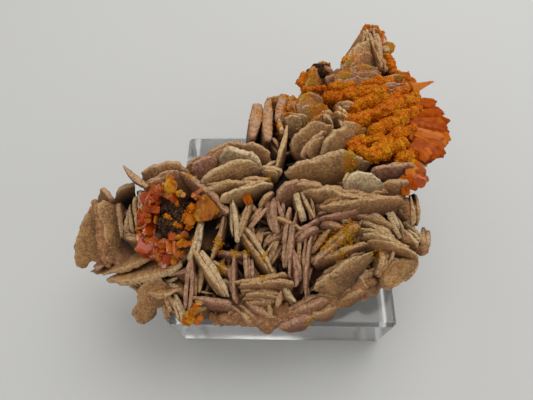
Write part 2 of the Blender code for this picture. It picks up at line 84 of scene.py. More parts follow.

# %% [markdown]
# Barite grows here as thin plates that stand on their feet. Each row of the tables is one
# plate, read off one by one: x, y of one end of its upper edge, x, y of the other end, thickness,
# depth below the edge, height of the edge over the hill, lean of the foot in degrees, and how
# far the edge bows up in the middle. The tables follow the stone's regions, from left to right
# and then over the crest to the back. A few broad leaves turn their faces to the eye, and their
# shapes are clear, so each of those has an outline of its own as well.

# %% Blades at the left end
blades_left = [
    (-33.2, 2.2, -26.0, -4.0, 1.4, 1.6, 2.2, 0, 0.1),
    (-29.0, 0.0, -19.0, 1.0, 1.5, 9, 0.0, 30, 1.6),
    (-28.0, -2.8, -20.0, -0.3, 1.3, 9, 0.5, 30, 0.6),
    (-19.8, -0.4, -9.8, -8.6, 1.3, 7, 1.5, 15, 0.4),
    (-29.5, -10.8, -29.8, -4.2, 1.0, 6, 0.2, 0, 0.4),
    (-28.2, -9.4, -28.0, -3.4, 1.5, 6, 0.2, 10, 0.4),
    (-30.8, -10.4, -31.2, -5.2, 0.9, 6, -0.6, 0, 0.4),
    (-33.6, -10.4, -34.4, -4.0, 1.2, 6, -1.2, 10, 0.5),
    (-33.0, -10.5, -31.5, -5.0, 1.2, 6, -2.0, 20, 0.6),
    (-32.8, -10.6, -28.4, -11.8, 1.0, 4, 0.0, 0, 0.2),
    (-24.8, -18.8, -21.8, -25.0, 1.5, 6, 0.0, 10, 0.4),
    (-22.0, -21.5, -19.5, -27.0, 1.9, 5, 0.0, 10, 0.4),
    (-24.6, -22.0, -23.6, -26.0, 1.2, 5, -1.0, 0, 0.3),
    (-24.5, -19.0, -19.5, -20.7, 1.1, 5, -1.0, 10, 0.3),
    (-27.0, -19.6, -21.0, -18.4, 1.1, 5, -1.2, -30, 0.4),
    (-23.4, -17.8, -18.6, -17.4, 1.1, 5, -0.6, -20, 0.3),
    (-21.6, -16.2, -18.2, -14.0, 0.9, 5, -1.4, 0, 0.3),
]
leaves_left = [  # broad leaves, each a row with its outline: share of the half length, mm down
    ((-45.4, -12.5, -42.0, -4.0, 1.6, 7.1, 1.0, 50, 0.9),
     [(-1.4, 1.4), (-1.25, -0.4), (-0.85, -1.2), (-0.15, -0.9), (0.55, -0.4), (1.0, 0.8), (1.2, 2.4),
      (1.2, 5.1), (0.5, 7.1), (-0.8, 6.2), (-1.1, 5.0), (-1.1, 2.8)]),
    ((-37.6, -14.6, -39.0, -0.6, 2.2, 6.0, 0.5, 45, 1.0),
     [(-1.1, 1.4), (-1.0, 0.3), (-0.7, 0.4), (-0.3, -0.2), (0.05, -0.6), (0.35, -1.0), (0.6, -0.7),
      (0.7, 0.7), (0.6, 4.5), (0.2, 6.0), (-0.35, 5.6), (-0.9, 3.3)]),
    ((-40.5, 1.0, -36.5, -1.2, 1.2, 6.2, -0.5, 20, 0.0),
     [(-2.2, 6.2), (-1.8, 3.2), (-0.2, 0.2), (0.5, 1.1), (0.95, 2.7), (-0.6, 6.2)]),
    ((-36.2, -2.0, -29.5, 1.0, 1.5, 7.1, 0.0, 12, 0.0),
     [(-1.9, 6.1), (-1.5, 3.6), (-0.7, 1.7), (-0.1, 1.4), (0.3, 2.2), (-0.4, 6.2), (-1.6, 7.1)]),
    ((-38.0, -16.6, -25.0, -14.6, 1.7, 4.8, 0.0, -55, 0.8),
     [(-2.0, 3.7), (-1.4, 0.8), (-0.9, -0.5), (-0.4, -0.8), (0.2, -0.6), (0.7, 0.3), (0.95, 1.1),
      (0.4, 4.4), (0.0, 4.8), (-0.6, 4.3), (-1.1, 3.6), (-1.7, 4.3)]),
    ((-36.0, -18.0, -20.5, -16.5, 1.7, 3.3, 0.0, -55, 2.6),
     [(-1.2, 0.4), (-0.75, -1.5), (-0.3, -2.6), (0.1, -1.7), (0.55, -1.9), (0.85, -1.5),
      (1.15, -0.7), (1.1, 1.6), (0.75, 2.9), (0.3, 3.3), (-0.4, 3.3), (-0.95, 2.5)]),
    ((-33.0, -19.6, -21.0, -19.4, 1.6, 4.8, -2.0, -50, 3.9),
     [(-1.15, 2.7), (-0.7, 0.0), (-0.3, -1.8), (0.55, -3.9), (1.25, -1.2), (0.85, 3.6), (0.1, 4.8),
      (-0.75, 4.5)]),
    ((-31.0, -24.6, -25.0, -18.4, 1.6, 3.8, 0.6, 62, 1.6),
     [(-1.1, 1.4), (-1.0, -0.4), (-0.5, -1.4), (0.1, -1.6), (0.8, -1.3), (1.0, 0.6), (0.85, 3.0),
      (0.3, 3.8), (-0.4, 3.4), (-0.95, 2.6)]),
]
print(len(blades_left), "blades and", len(leaves_left), "leaves at the left end")

# %% Blades of the front lattice
blades_front = [
    (-15.5, -9.6, -17.8, -16.6, 1.7, 8, 0.5, 15, 0.4),
    (-17.4, -15.0, -19.6, -24.2, 1.4, 7, 0.5, 10, 0.4),
    (-16.0, -16.0, -16.7, -21.4, 1.1, 6, -0.5, 0, 0.3),
    (-16.6, -13.8, -10.3, -22.4, 1.9, 8, 1.0, 10, 0.4),
    (-11.0, -8.5, -14.3, -16.2, 1.1, 7, 0.0, 0, 0.3),
    (-18.2, -21.8, -9.6, -23.2, 1.3, 5, 0.5, 10, 0.3),
    (-10.2, -15.2, -9.5, -23.5, 1.5, 7, 0.5, -10, 0.4),
    (-9.4, -19.7, 2.2, -19.0, 1.7, 6, 1.5, 10, 0.7),
    (-8.2, -21.0, 0.2, -21.2, 1.6, 5, 0.5, 10, 0.5),
    (-7.6, -22.0, -1.0, -22.5, 1.4, 5, 0.0, 10, 0.4),
    (0.1, -20.8, -0.7, -23.8, 1.3, 5, 0.5, 0, 0.4),
    (2.0, -7.6, 0.9, -19.2, 2.0, 9, 1.5, -10, 0.5),
    (2.5, -13.5, 3.9, -20.2, 1.5, 7, 0.5, 10, 0.4),
    (3.4, -12.6, 4.0, -18.6, 1.0, 6, 0.0, 0, 0.3),
    (5.4, -12.0, 4.4, -22.4, 1.2, 8, 1.0, -10, 0.4),
    (6.2, -16.6, 5.6, -19.0, 0.8, 4, -1.0, 0, 0.2),
    (-6.8, -14.4, -6.5, -19.4, 1.3, 7, 0.0, 0, 0.3),
    (-6.0, -15.4, -5.3, -19.2, 0.8, 5, -0.3, 0, 0.2),
    (-7.3, -10.4, -1.2, -18.6, 1.4, 7, 0.5, 10, 0.4),
    (-4.0, -10.2, -4.8, -14.0, 1.5, 6, -1.0, 0, 0.5),
    (-0.2, -12.4, -2.9, -16.8, 1.5, 6, -0.5, 0, 0.4),
    (-1.2, -12.4, -3.4, -15.0, 0.6, 4, -0.5, 0, 0.2),
    (-3.6, -12.3, 1.0, -11.0, 1.3, 6, -1.0, 10, 0.3),
    (-12.9, -13.7, -6.6, -14.7, 1.2, 5, -1.5, 10, 0.3),
    (-13.2, -16.4, -10.1, -17.0, 1.1, 4, -2.0, 0, 0.2),
    (-5.7, -16.2, -3.7, -18.8, 0.8, 4, -1.5, 0, 0.2),
    (-1.8, -16.4, -0.5, -18.2, 0.9, 4, -1.5, 0, 0.2),
    (-15.0, -17.8, -12.8, -21.4, 1.0, 5, -1.0, 0, 0.2),
    (-7.0, -22.2, -2.0, -25.2, 1.5, 5, 0.0, 10, 0.3),
    (-8.6, -23.4, -4.8, -25.9, 1.8, 5, -0.3, 10, 0.3),
    (-2.3, -22.8, -2.2, -25.6, 1.3, 4, -0.3, 0, 0.2),
    (0.6, -19.8, 3.2, -22.8, 1.3, 6, 0.0, 10, 0.4),
    (-13.0, -23.6, -13.3, -26.6, 2.0, 5, -2.5, 0, 0.3),
    (-11.3, -23.6, -11.2, -26.6, 2.2, 5, -2.5, 0, 0.3),
    (-19.2, -24.8, -15.4, -22.6, 1.5, 5, -1.0, 0, 0.3),
    (-9.4, -6.0, -8.9, -13.6, 1.4, 7, 1.0, 0, 0.5),
    (-6.2, -6.8, -8.4, -12.2, 1.3, 6, 1.0, 0, 0.4),
    (-2.9, -7.1, -6.8, -10.8, 1.6, 6, 0.5, 20, 0.4),
    (-1.9, -4.6, -4.6, -7.4, 1.0, 5, 0.5, 0, 0.3),
    (-2.3, -5.6, -1.1, -11.7, 2.2, 7, 0.0, -20, 0.5),
    (-0.3, -5.6, 0.8, -9.4, 1.3, 6, 0.0, 0, 0.3),
    (-5.9, -6.5, -4.3, -7.9, 1.0, 4, -1.0, 0, 0.2),
    (-1.0, -8.7, 4.4, -11.1, 0.8, 4, 0.8, 0, 0.2),
]
print(len(blades_front), "blades in the front lattice")

# %% Blades at the right
blades_right = [
    (5.4, -20.4, 17.6, -13.6, 2.6, 4, 0.5, 48, 0.8),
    (6.0, -16.1, 17.2, -12.5, 1.2, 6, 0.5, 10, 0.5),
    (5.7, -16.3, 15.0, -9.7, 1.4, 7, 1.0, 10, 0.5),
    (6.0, -14.8, 9.6, -10.1, 1.3, 6, 0.0, 0, 0.3),
    (2.2, -12.7, 7.8, -9.2, 1.6, 7, 0.5, 8, 0.5),
    (7.8, -9.2, 12.8, -10.7, 1.2, 5, 0.0, 10, 0.5),
    (2.9, -4.9, 4.9, -10.0, 1.5, 7, 0.5, 0, 0.4),
    (3.8, -4.5, 6.6, -9.0, 0.9, 5, 0.3, 0, 0.2),
    (5.4, -5.6, 6.5, -9.2, 1.1, 5, 0.0, 0, 0.2),
    (1.8, -3.0, 9.2, -3.8, 1.5, 6, 0.5, 8, 0.6),
    (4.0, -4.2, 16.8, -5.2, 1.8, 6, 0.5, 10, 1.0),
    (7.0, -7.0, 23.6, -5.6, 2.2, 6, 1.2, 10, 1.0),
    (7.0, -8.3, 17.2, -7.1, 1.6, 6, 0.3, 8, 0.5),
    (14.6, -7.8, 23.8, -11.7, 1.5, 7, 0.0, 10, 0.8),
    (20.0, -5.8, 24.6, -12.0, 1.5, 8, -1.0, -30, 0.8),
    (26.2, -4.6, 26.2, -10.2, 1.8, 6, -1.0, 0, 0.8),
    (24.3, -9.4, 28.8, -13.2, 1.9, 6, -1.0, 10, 0.6),
    (28.4, -10.4, 28.9, -13.8, 1.6, 6, -1.0, -20, 0.5),
    (15.2, -11.0, 23.8, -12.2, 1.5, 6, 0.5, 10, 0.5),
    (16.8, -12.0, 27.8, -14.2, 1.6, 6, 0.5, 10, 0.6),
    (21.6, -14.0, 19.2, -19.6, 2.6, 7, 0.6, 15, 0.5),
    (26.8, -14.8, 24.4, -18.6, 2.4, 5, -1.0, 10, 0.6),
    (15.2, -15.6, 18.8, -16.0, 1.0, 5, -2.5, 0, 0.2),
    (15.6, -17.2, 18.8, -17.8, 1.0, 4, -2.5, 0, 0.2),
    (-1.8, -26.2, 7.2, -23.8, 2.6, 5, -0.3, 10, 0.6),
    (4.8, -24.2, 12.4, -21.8, 2.8, 5, -0.5, 10, 0.6),
    (9.8, -22.0, 16.6, -18.8, 2.8, 5, -0.6, 10, 0.6),
    (1.0, -24.2, 8.6, -21.0, 2.6, 5, -0.4, 25, 0.5),
    (6.6, -21.6, 14.6, -17.4, 2.6, 5, -0.8, 25, 0.5),
    (11.9, -3.6, 13.6, -1.6, 1.3, 5, 0.5, 20, 0.5),
    (12.2, -3.4, 19.8, -3.2, 1.2, 5, 0.5, 35, 2.2),
    (15.0, -4.5, 21.2, -4.0, 1.2, 6, 0.0, 10, 0.4),
    (19.3, -3.6, 25.2, -2.6, 1.5, 6, -0.5, 25, 1.2),
    (17.4, -0.6, 26.8, 1.8, 1.5, 6, 0.0, 15, 0.8),
    (10.0, -9.6, 13.6, -13.6, 1.0, 5, -1.0, 0, 0.2),
    (12.2, -8.4, 12.9, -10.4, 0.9, 4, -0.5, 0, 0.2),
    (17.2, -6.9, 21.2, -9.8, 1.1, 5, -0.5, 0, 0.3),
]
leaves_right = [
    ((24.6, -14.2, 20.6, -19.9, 2.0, 4.4, 0.3, -45, 1.8),
     [(-1.0, 2.4), (-1.0, 3.8), (-0.5, 4.4), (0.3, 3.0), (1.0, 1.0), (1.1, -0.6), (0.5, -1.8),
      (-0.4, -1.4)]),
]
print(len(blades_right), "blades at the right")

# %% Blades along the crest and behind it
blades_crest = [
    (0.2, -1.2, 17.8, 2.6, 1.7, 9, 0.5, 25, 2.8),
    (7.4, 4.0, 18.2, 13.0, 1.5, 9, 0.5, 35, 2.6),
    (1.2, 5.8, 10.8, 11.8, 1.5, 9, 0.5, 40, 2.4),
    (4.0, 2.6, 9.4, 10.0, 1.2, 5, 1.2, 30, 0.8),
    (1.3, 11.6, -0.7, 0.0, 1.2, 6, 1.5, 0, 0.3),
    (-16.2, -2.6, -4.4, 0.4, 1.6, 7, 0.5, 20, 1.8),
    (-12.8, 4.2, -3.4, 0.6, 1.6, 8, 0.0, 30, 2.2),
    (-11.6, 7.6, -1.8, 3.0, 1.5, 8, 0.0, 30, 1.6),
    (-3.4, 0.6, -0.8, 2.8, 1.2, 5, -1.0, 10, 0.3),
    (-20.2, 1.4, -13.0, 4.4, 1.5, 8, -1.0, 40, 0.8),
    (-15.6, 4.0, -8.6, 8.2, 1.5, 8, -1.0, 40, 1.0),
    (-15.0, -4.1, -7.4, -2.9, 1.5, 6, 0.5, 10, 0.8),
    (-7.8, -3.0, -1.9, -2.6, 1.4, 6, 0.4, 8, 0.4),
    (-11.9, -6.1, -2.2, -2.8, 1.5, 5, 1.0, 8, 0.8),
    (-4.0, -0.2, 0.4, -1.3, 1.3, 5, 0.8, 10, 0.3),
    (-1.8, -5.3, 3.4, -2.5, 1.8, 6, 0.5, 20, 1.0),
]
blades_back = [
    (2.4, 16.4, 7.6, 23.0, 1.8, 8, 0.3, 48, 1.4),
    (-2.1, 9.7, -0.5, 6.8, 1.0, 5, -1.0, 0, 0.3),
    (-0.5, 15.0, 0.1, 9.8, 1.2, 6, 0.0, 0, 0.4),
    (-2.8, 21.6, 3.2, 21.0, 1.5, 8, 0.0, 30, 0.4),
    (-0.6, 15.4, 5.8, 15.0, 1.3, 7, 0.3, 35, 0.5),
    (2.8, 21.4, 9.8, 22.6, 1.6, 9, 0.0, 40, 1.0),
    (11.8, 18.0, 16.2, 12.5, 1.8, 6, 0.5, 20, 0.5),
    (3.4, 17.4, 10.6, 19.4, 1.6, 7, -0.3, 40, 0.8),
    (6.4, 14.4, 11.4, 17.2, 1.5, 6, -0.5, 40, 0.6),
    (12.0, 20.0, 19.0, 18.4, 1.6, 6, -0.6, 35, 0.8),
    (9.4, 16.4, 10.4, 12.8, 1.3, 6, 0.0, 0, 0.4),
    (12.6, 14.8, 13.6, 11.4, 1.0, 5, -0.5, 0, 0.3),
    (4.4, 24.6, 8.2, 33.0, 2.6, 8, 0.0, 30, 1.0),
    (7.0, 33.0, 12.8, 33.2, 2.6, 8, 0.0, 30, 1.0),
    (10.4, 29.0, 18.8, 31.4, 1.8, 6, 0.2, 45, 0.5),
    (12.0, 27.2, 22.6, 28.8, 1.8, 6, -0.2, 50, 0.5),
    (13.2, 31.4, 23.6, 33.6, 2.2, 6, -0.2, 45, 0.6),
    (17.0, 30.4, 24.2, 30.6, 1.6, 6, 0.4, 50, 0.4),
    (24.0, 49.6, 24.6, 30.6, 1.6, 7, 1.0, 0, 0.4),
    (22.8, 50.2, 22.0, 41.0, 2.2, 8, 0.4, 25, 0.6),
    (25.6, 49.4, 26.4, 39.4, 2.2, 7, 0.0, -25, 0.6),
    (22.4, 49.0, 26.2, 49.6, 2.2, 7, 0.2, 20, 1.0),
    (25.6, 40.6, 27.2, 33.0, 2.4, 7, -0.6, -20, 0.6),
    (24.0, 28.6, 30.4, 29.6, 1.4, 7, 0.0, 30, 0.4),
    (23.8, 26.2, 30.4, 27.0, 1.4, 7, 0.0, 30, 0.4),
    (24.2, 23.8, 29.6, 24.4, 1.4, 7, 0.0, 30, 0.4),
    (28.8, 31.4, 31.4, 23.8, 1.8, 6, -0.5, 10, 0.6),
]
PILLAR = [(-1.0, 0.4), (-0.8, -0.2), (0.0, -0.4), (0.8, -0.2), (1.0, 0.4), (0.95, 7.0), (-0.95, 7.0)]
LOBE = [(-1.1, 1.6), (-0.9, -0.2), (-0.5, -0.6), (-0.1, -1.3), (0.4, -1.4), (0.8, -0.9), (1.05, 0.4),
        (0.9, 4.0), (0.4, 7.6), (-0.3, 7.8), (-0.9, 5.6)]
leaves_back = [
    ((-6.2, 8.4, -5.0, 19.8, 2.9, 7, 0.3, -8, 0.4), PILLAR),
    ((-3.2, 8.0, -2.4, 21.8, 2.5, 7, 0.5, -4, 0.4), PILLAR),
    ((-0.6, 13.4, 0.2, 22.9, 2.3, 7, 0.3, 6, 0.4), PILLAR),
    ((1.9, 17.0, 2.4, 22.6, 2.0, 7, 0.0, 12, 0.4), PILLAR),
    ((14.6, 34.4, 22.8, 43.4, 2.4, 8, 0.0, 42, 1.4), LOBE),
    ((16.6, 33.6, 23.0, 39.6, 1.8, 7, -0.6, 42, 1.0), LOBE),
]
print(len(blades_crest), "on the crest,", len(blades_back), "behind it")

# %% [markdown]
# Between the listed blades a real specimen is full of smaller ones, and its flanks and
# underside bristle too. Nobody can place those one by one, so a seeded throw of the dice does
# it: short blades low in the gaps, and later short blades that point out of the rubble. The
# rubble is what all of them stand on, a few overlapping lumps, given as centre and half sizes.

# %% Rubble and the small blades that fill the gaps
rubble_lumps = [
    ((-5, -11, 22.5), (19, 13, 5.5)),
    ((-28, -9, 24.5), (13, 8, 5.0)),
    ((14, -11, 24.5), (14, 9, 5.5)),
    ((0, 1, 28.0), (19, 8, 8.0)),
    ((12, 13, 28.5), (14, 12, 6.5)),
    ((26, 15, 29.0), (8, 9, 5.5)),
    ((18, 29, 27.5), (11, 9, 5.0)),
    ((24.2, 41, 29.0), (4.4, 9, 4.4)),
    ((-3, 13, 27.0), (5, 8, 7.5)),
    ((-1.4, 15.5, 31.0), (3.4, 6, 4.5)),
    ((-18, -7.5, 30.0), (6, 6, 4.5)),
    ((-31, -5, 27.0), (6, 6, 5.0)),
    ((-19, -2, 31.0), (5, 5, 4.5)),
    ((-25, -9, 29.5), (6, 6, 4.5)),
    ((22, -8, 25.0), (6, 8, 6.5)),
]
GAP_STRAY, GAP_TURN = 1.3, 0.7  # mm beside a listed blade, and radians off its bearing
GAP_HALF, GAP_THICKNESS, GAP_DEPTH, GAP_BOW = (1.3, 3.0), (0.5, 1.0), 5, 0.3  # mm
GAP_LIFT, GAP_LEAN = (-4.5, -0.8), (-15, 30)  # mm over the hill, degrees


def inside(rows, x, y, reach=1.5):
    """True where a point lies close to one of the listed blades in plan."""
    for x1, y1, x2, y2, *_ in rows:
        across, up = x2 - x1, y2 - y1
        share = ((x - x1) * across + (y - y1) * up) / (across**2 + up**2)
        share = min(1, max(0, share))
        if math.hypot(x - x1 - share * across, y - y1 - share * up) < reach:
            return True
    return False


def gap_blades(rows, count, dice):
    made = []
    while len(made) < count:
        x1, y1, x2, y2, *_ = dice.choice(rows)
        share = dice.random()
        x = x1 + (x2 - x1) * share + dice.gauss(0, GAP_STRAY)
        y = y1 + (y2 - y1) * share + dice.gauss(0, GAP_STRAY)
        bearing = math.atan2(y2 - y1, x2 - x1) + dice.gauss(0, GAP_TURN)
        half = dice.uniform(*GAP_HALF)
        dx, dy = math.cos(bearing) * half, math.sin(bearing) * half
        if not (inside(rows, x - dx, y - dy) and inside(rows, x + dx, y + dy)):
            continue
        made.append(
            (x - dx, y - dy, x + dx, y + dy, dice.uniform(*GAP_THICKNESS), GAP_DEPTH,
             dice.uniform(*GAP_LIFT), dice.uniform(*GAP_LEAN), GAP_BOW)
        )
    return made


dice = random.Random(31)
gaps_left = gap_blades(blades_left, 30, dice)
gaps_front = gap_blades(blades_front, 110, dice)
gaps_right = gap_blades(blades_right, 80, dice)
gaps_back = gap_blades(blades_crest + blades_back, 60, dice)
print(len(gaps_left + gaps_front + gaps_right + gaps_back), "small blades in the gaps")

# %% [markdown]
# A plate of barite starts as a flat outline. It could be a plain rectangle, but real plates have
# worn corners and bowed upper edges, so dice move ten corners, and a running mean rounds them.
# The points are then spread evenly, and wider apart at the foot, which nobody sees.

# %% The outline of a plate
OUTLINE_POINTS, CORNER_ROUND = 400, 0.5  # how finely an outline is drawn, and its corners in mm
HIDDEN_FROM, HIDDEN_REACH, COARSER = 1.5, 3.0, 1.6  # mm, mm: the foot is hidden, so it is coarser
FEWEST_POINTS = 24


def unit(vector):
    return vector / np.linalg.norm(vector)


def noise_at(points, pitch, shift=0.0):
    scaled = np.asarray(points) / pitch + shift
    return np.array([noise.noise(point) for point in scaled.tolist()])


def blade_frame(row):
    x1, y1, x2, y2, _, _, lift, lean, _ = row
    start = np.array((x1, y1, hill(x1, y1) + lift))
    end = np.array((x2, y2, hill(x2, y2) + lift))
    along = unit(end - start)
    side = unit(np.cross(along, UP))
    turn = math.radians(lean)
    down = side * math.sin(turn) - UP * math.cos(turn)
    down = unit(down - along * down.dot(along))
    return (start + end) / 2, along, down, np.linalg.norm(end - start) / 2


def chance_corners(depth, bow, draw):
    """The corners of a plate, thrown by dice: share of the half length, and millimetres down."""
    return [
        (-1.0, depth * draw(0.0, 0.2)),
        (-draw(0.55, 0.9), -bow * draw(0.1, 0.8)),
        (draw(-0.4, 0.0), -bow * draw(0.7, 1.0)),
        (draw(0.05, 0.45), -bow),
        (draw(0.55, 0.9), -bow * draw(0.1, 0.8)),
        (1.0, depth * draw(0.0, 0.2)),
        (draw(0.6, 0.95), depth * draw(0.5, 0.75)),
        (draw(0.1, 0.5), depth),
        (-draw(0.1, 0.5), depth),
        (-draw(0.6, 0.95), depth * draw(0.5, 0.75)),
    ]


def outline(corners, half, spacing):
    """Evenly spaced points round a plate: along, down, and the way out, in millimetres."""
    corners = np.array(corners)
    corners = np.vstack([corners, corners[:1]]) * (half, 1)
    mileage = np.concatenate([[0], np.cumsum(np.hypot(*np.diff(corners, axis=0).T))])
    marks = np.linspace(0, mileage[-1], OUTLINE_POINTS, endpoint=False)
    width = 1 + int(CORNER_ROUND / mileage[-1] * OUTLINE_POINTS)
    across, down = [
        np.convolve(np.resize(np.interp(marks, mileage, line), OUTLINE_POINTS + width - 1),
                    np.ones(width) / width, "valid")
        for line in corners.T
    ]
    across, down = np.append(across, across[0]), np.append(down, down[0])
    stretch = 1 + COARSER * np.clip((down[1:] - HIDDEN_FROM) / HIDDEN_REACH, 0, 1)
    step = np.hypot(np.diff(across), np.diff(down)) / stretch
    travel = np.concatenate([[0], np.cumsum(step)])
    around = int(max(FEWEST_POINTS, travel[-1] / spacing))
    even = np.linspace(0, travel[-1], around, endpoint=False)
    across, down = np.interp(even, travel, across), np.interp(even, travel, down)
    ahead, behind = np.roll(np.arange(around), -1), np.roll(np.arange(around), 1)
    out = np.stack([down[ahead] - down[behind], across[behind] - across[ahead]], 1)
    out /= np.linalg.norm(out, axis=1)[:, None] + 1e-9
    return across, down, out


corners = chance_corners(8, 2, random.Random(0).uniform)
print(len(corners), "corners make", len(outline(corners, 8, 0.4)[0]), "points round a plate")

# %% [markdown]
# The outline becomes a plate with a nearly square rim: rings of points run from the middle of one
# face, round the rim, to the middle of the other face. Its two ends are blunt or thin out to a
# wedge. Barite grows layer on layer, so the rim is ribbed along its length, and here it is coated
# with grit, so its outline is ragged too. Noise moves the points to give both. Each point also
# remembers how near the upper rim it is, for a painted highlight with some wear there, and where
# it lies along the blade and across its layers.

# %% One plate as points and faces
GRIT = ((2.2, 0.10), (0.9, 0.08), (0.45, 0.06))  # pitch and height of the roughness, mm
RAG = ((4.0, 0.45), (1.4, 0.30), (0.6, 0.15))  # the same for the outline
LAYER, LAYER_STEP = 0.30, 0.16  # thickness of a layer, and how far one stands past the next
LAYER_RUN = 5, 4  # mm along and down the blade before a layer's edge wanders
RIM_STEPS, RIM_SQUARE = (75, 38, 0, -38, -75), (0.4, 0.55)  # degrees; powers below 1 are squarer
RIM_THICK, RIM_WIDE = 0.5, 0.45  # the rim's depth: shares of the thickness and of the half width
RIM_ONLY = 6  # a power of the way out from the middle: high, so that only the rim is touched
RING_STEP = 0.55  # rings are closer than the points round the outline
CREST = 0.92  # thickness at the rim, against the middle of the face
BLUNT_END, WEDGE_END = (0.1, 0.4, 4.0), (0.5, 0.9, 1.6)  # how much thinner, least, most; how late
THINNEST = 0.05
RAG_LEAST, RAG_MOST, RAG_GROWS = 0.5, 1.6, 6  # long plates are more ragged; mm for one step more
BEND, TWIST = 0.09, 0.12  # the most a plate bends, a share of its half length, and twists, radians
HIGHLIGHT_AND_WEAR_REACH = 0.5  # mm in from the upper rim over which it has a painted highlight, with some wear


def chance_end(dice):
    """An end of a blade: blunt or a wedge, as how much thinner it gets and how late."""
    least, most, late = dice.choice((BLUNT_END, WEDGE_END))
    return dice.uniform(least, most), late


def disc_faces(around, rings):
    """Faces for rings of points with one point at each pole."""
    steps = np.arange(around)
    after = (steps + 1) % around
    faces = []
    for ring in range(rings - 1):
        low, high = 1 + ring * around, 1 + (ring + 1) * around
        faces += np.stack([low + steps, low + after, high + after, high + steps], 1).tolist()
    last = 1 + (rings - 1) * around
    pole = 1 + rings * around
    faces += np.stack([0 * steps, 1 + after, 1 + steps], 1).tolist()
    faces += np.stack([last + steps, last + after, pole + 0 * steps], 1).tolist()
    return faces


def section(thickness, reach, rings):
    """A cut through a plate: how far out each ring of points lies, and how high, as shares."""
    rim = min(thickness * RIM_THICK, RIM_WIDE * reach)
    inner = 1 - rim / (reach + rim)
    face = [
        (inner * ring / rings, 1.0 - (1 - CREST) * (ring / rings) ** 2)
        for ring in range(1, rings + 1)
    ]
    edge = [
        (inner + (1 - inner) * math.cos(step) ** RIM_SQUARE[0],
         CREST * math.copysign(abs(math.sin(step)) ** RIM_SQUARE[1], step))
        for step in map(math.radians, RIM_STEPS)
    ]
    rows = face + edge + [(share, -lift) for share, lift in reversed(face)]
    return np.array(rows).T


def plate(centre, along, down, half, thickness, depth, bow, spacing, dice, corners=None):
    """Points in millimetres, faces, and the numbers that the finish reads."""
    normal = np.cross(along, down)
    reach = (depth + bow) / 2
    middle = (depth - bow) / 2
    corners = corners or chance_corners(depth, bow, dice.uniform)
    across, drop, out = outline(corners, half, spacing)
    rings = int(max(2, RING_STEP * min(half, reach) / spacing))
    phase = dice.uniform(0, 100)

    round_it = np.stack([across, drop, 0 * across], 1)
    rag = sum(height * noise_at(round_it, pitch, phase) for pitch, height in RAG)
    rag = rag * min(RAG_MOST, RAG_LEAST + half / RAG_GROWS)
    across, drop = across + out[:, 0] * rag, drop + out[:, 1] * rag

    share, lift = section(thickness, reach, rings)
    bend, twist = dice.uniform(-BEND, BEND) * half, dice.uniform(-TWIST, TWIST)
    flat_across = share[:, None] * across[None, :]
    flat_drop = middle + share[:, None] * (drop - middle)[None, :]
    reached = np.abs(flat_across / half)
    (thin_a, power_a), (thin_b, power_b) = chance_end(dice), chance_end(dice)
    taper = 1 - np.where(flat_across < 0, thin_a * reached**power_a, thin_b * reached**power_b)
    taper = np.maximum(taper, THINNEST)
    sag = bend * (reached**2 - 0.5) + twist * flat_across * (flat_drop - middle) / reach
    high = lift[:, None] * thickness / 2 * taper
    layer = high / LAYER + phase
    ribs = np.stack([flat_across / LAYER_RUN[0], layer, flat_drop / LAYER_RUN[1]], -1)
    step = noise_at(ribs.reshape(-1, 3), 1).reshape(high.shape)
    step = LAYER_STEP * step * share[:, None] ** RIM_ONLY
    body = np.stack(
        [flat_across + step * out[None, :, 0], flat_drop + step * out[None, :, 1], high + sag], -1
    ).reshape(-1, 3)
    poles = np.array([(0, middle, thickness / 2 - bend / 2), (0, middle, -thickness / 2 - bend / 2)])
    local = np.vstack([poles[:1], body, poles[1:]])
    axes = np.stack([along, down, normal])
    points = centre + local @ axes

    slope = (share[:, None] ** RIM_ONLY) * out.T[:, None, :]
    outward = np.stack([slope[0], slope[1], lift[:, None] + 0 * high], -1).reshape(-1, 3)
    outward = np.vstack([(0, 0, 1), outward, (0, 0, -1)])
    outward /= np.linalg.norm(outward, axis=1)[:, None]
    push = sum(height * noise_at(points, pitch, phase) for pitch, height in GRIT)
    points = points + (outward @ axes) * push[:, None]

    distance = (1 - share[:, None]) * np.hypot(across, drop - middle)[None, :]
    # a painted highlight, with some wear, along the upper rim, fading in from its edge
    upper = np.clip(0.5 - 0.9 * out[:, 1], 0, 1)
    rim_highlight_and_wear = np.exp(-distance / HIGHLIGHT_AND_WEAR_REACH) * upper
    side = share[:, None] ** RIM_ONLY + 0 * high
    numbers = {
        "rim": np.concatenate([[0], rim_highlight_and_wear.reshape(-1), [0]]),
        "side": np.concatenate([[0], side.reshape(-1), [0]]),
        "foot": np.clip((local[:, 1] + bow) / (depth + bow), 0, 1),
        "layer": np.concatenate([[phase], layer.reshape(-1), [phase]]),
        "run": local[:, 0],
    }
    return points, disc_faces(len(across), len(share)), numbers


print(len(section(1.5, 4, 6)[0]), "rings of points, with one point more at the middle of each face")

# %% [markdown]
# A thick blade is a pack of two or three thin leaves, side by side, and all but the tallest are
# torn back. It could be one plate with steps cut in it, but separate leaves that overlap are
# simpler, and give the dark slits between layers for nothing. Bars and broad leaves stay whole.

# %% A blade as a pack of leaves
LEAF, MOST_LEAVES = 0.8, 3  # mm: a blade much thicker than this is a pack of leaves
LEAF_OVERLAP, LEAF_SHARE = 1.35, (0.6, 1.4)  # how unequal the leaves are
TORN_DOWN, TORN_ASIDE, TORN_SHORT = (0.05, 0.6), 0.15, 0.4  # mm; shares of the half length
SHALLOW = 2.0  # mm: a blade no deeper than this is a bar, and stays whole
BROAD = 1.5  # mm: a blade that bows up more than this shows its face, and stays whole


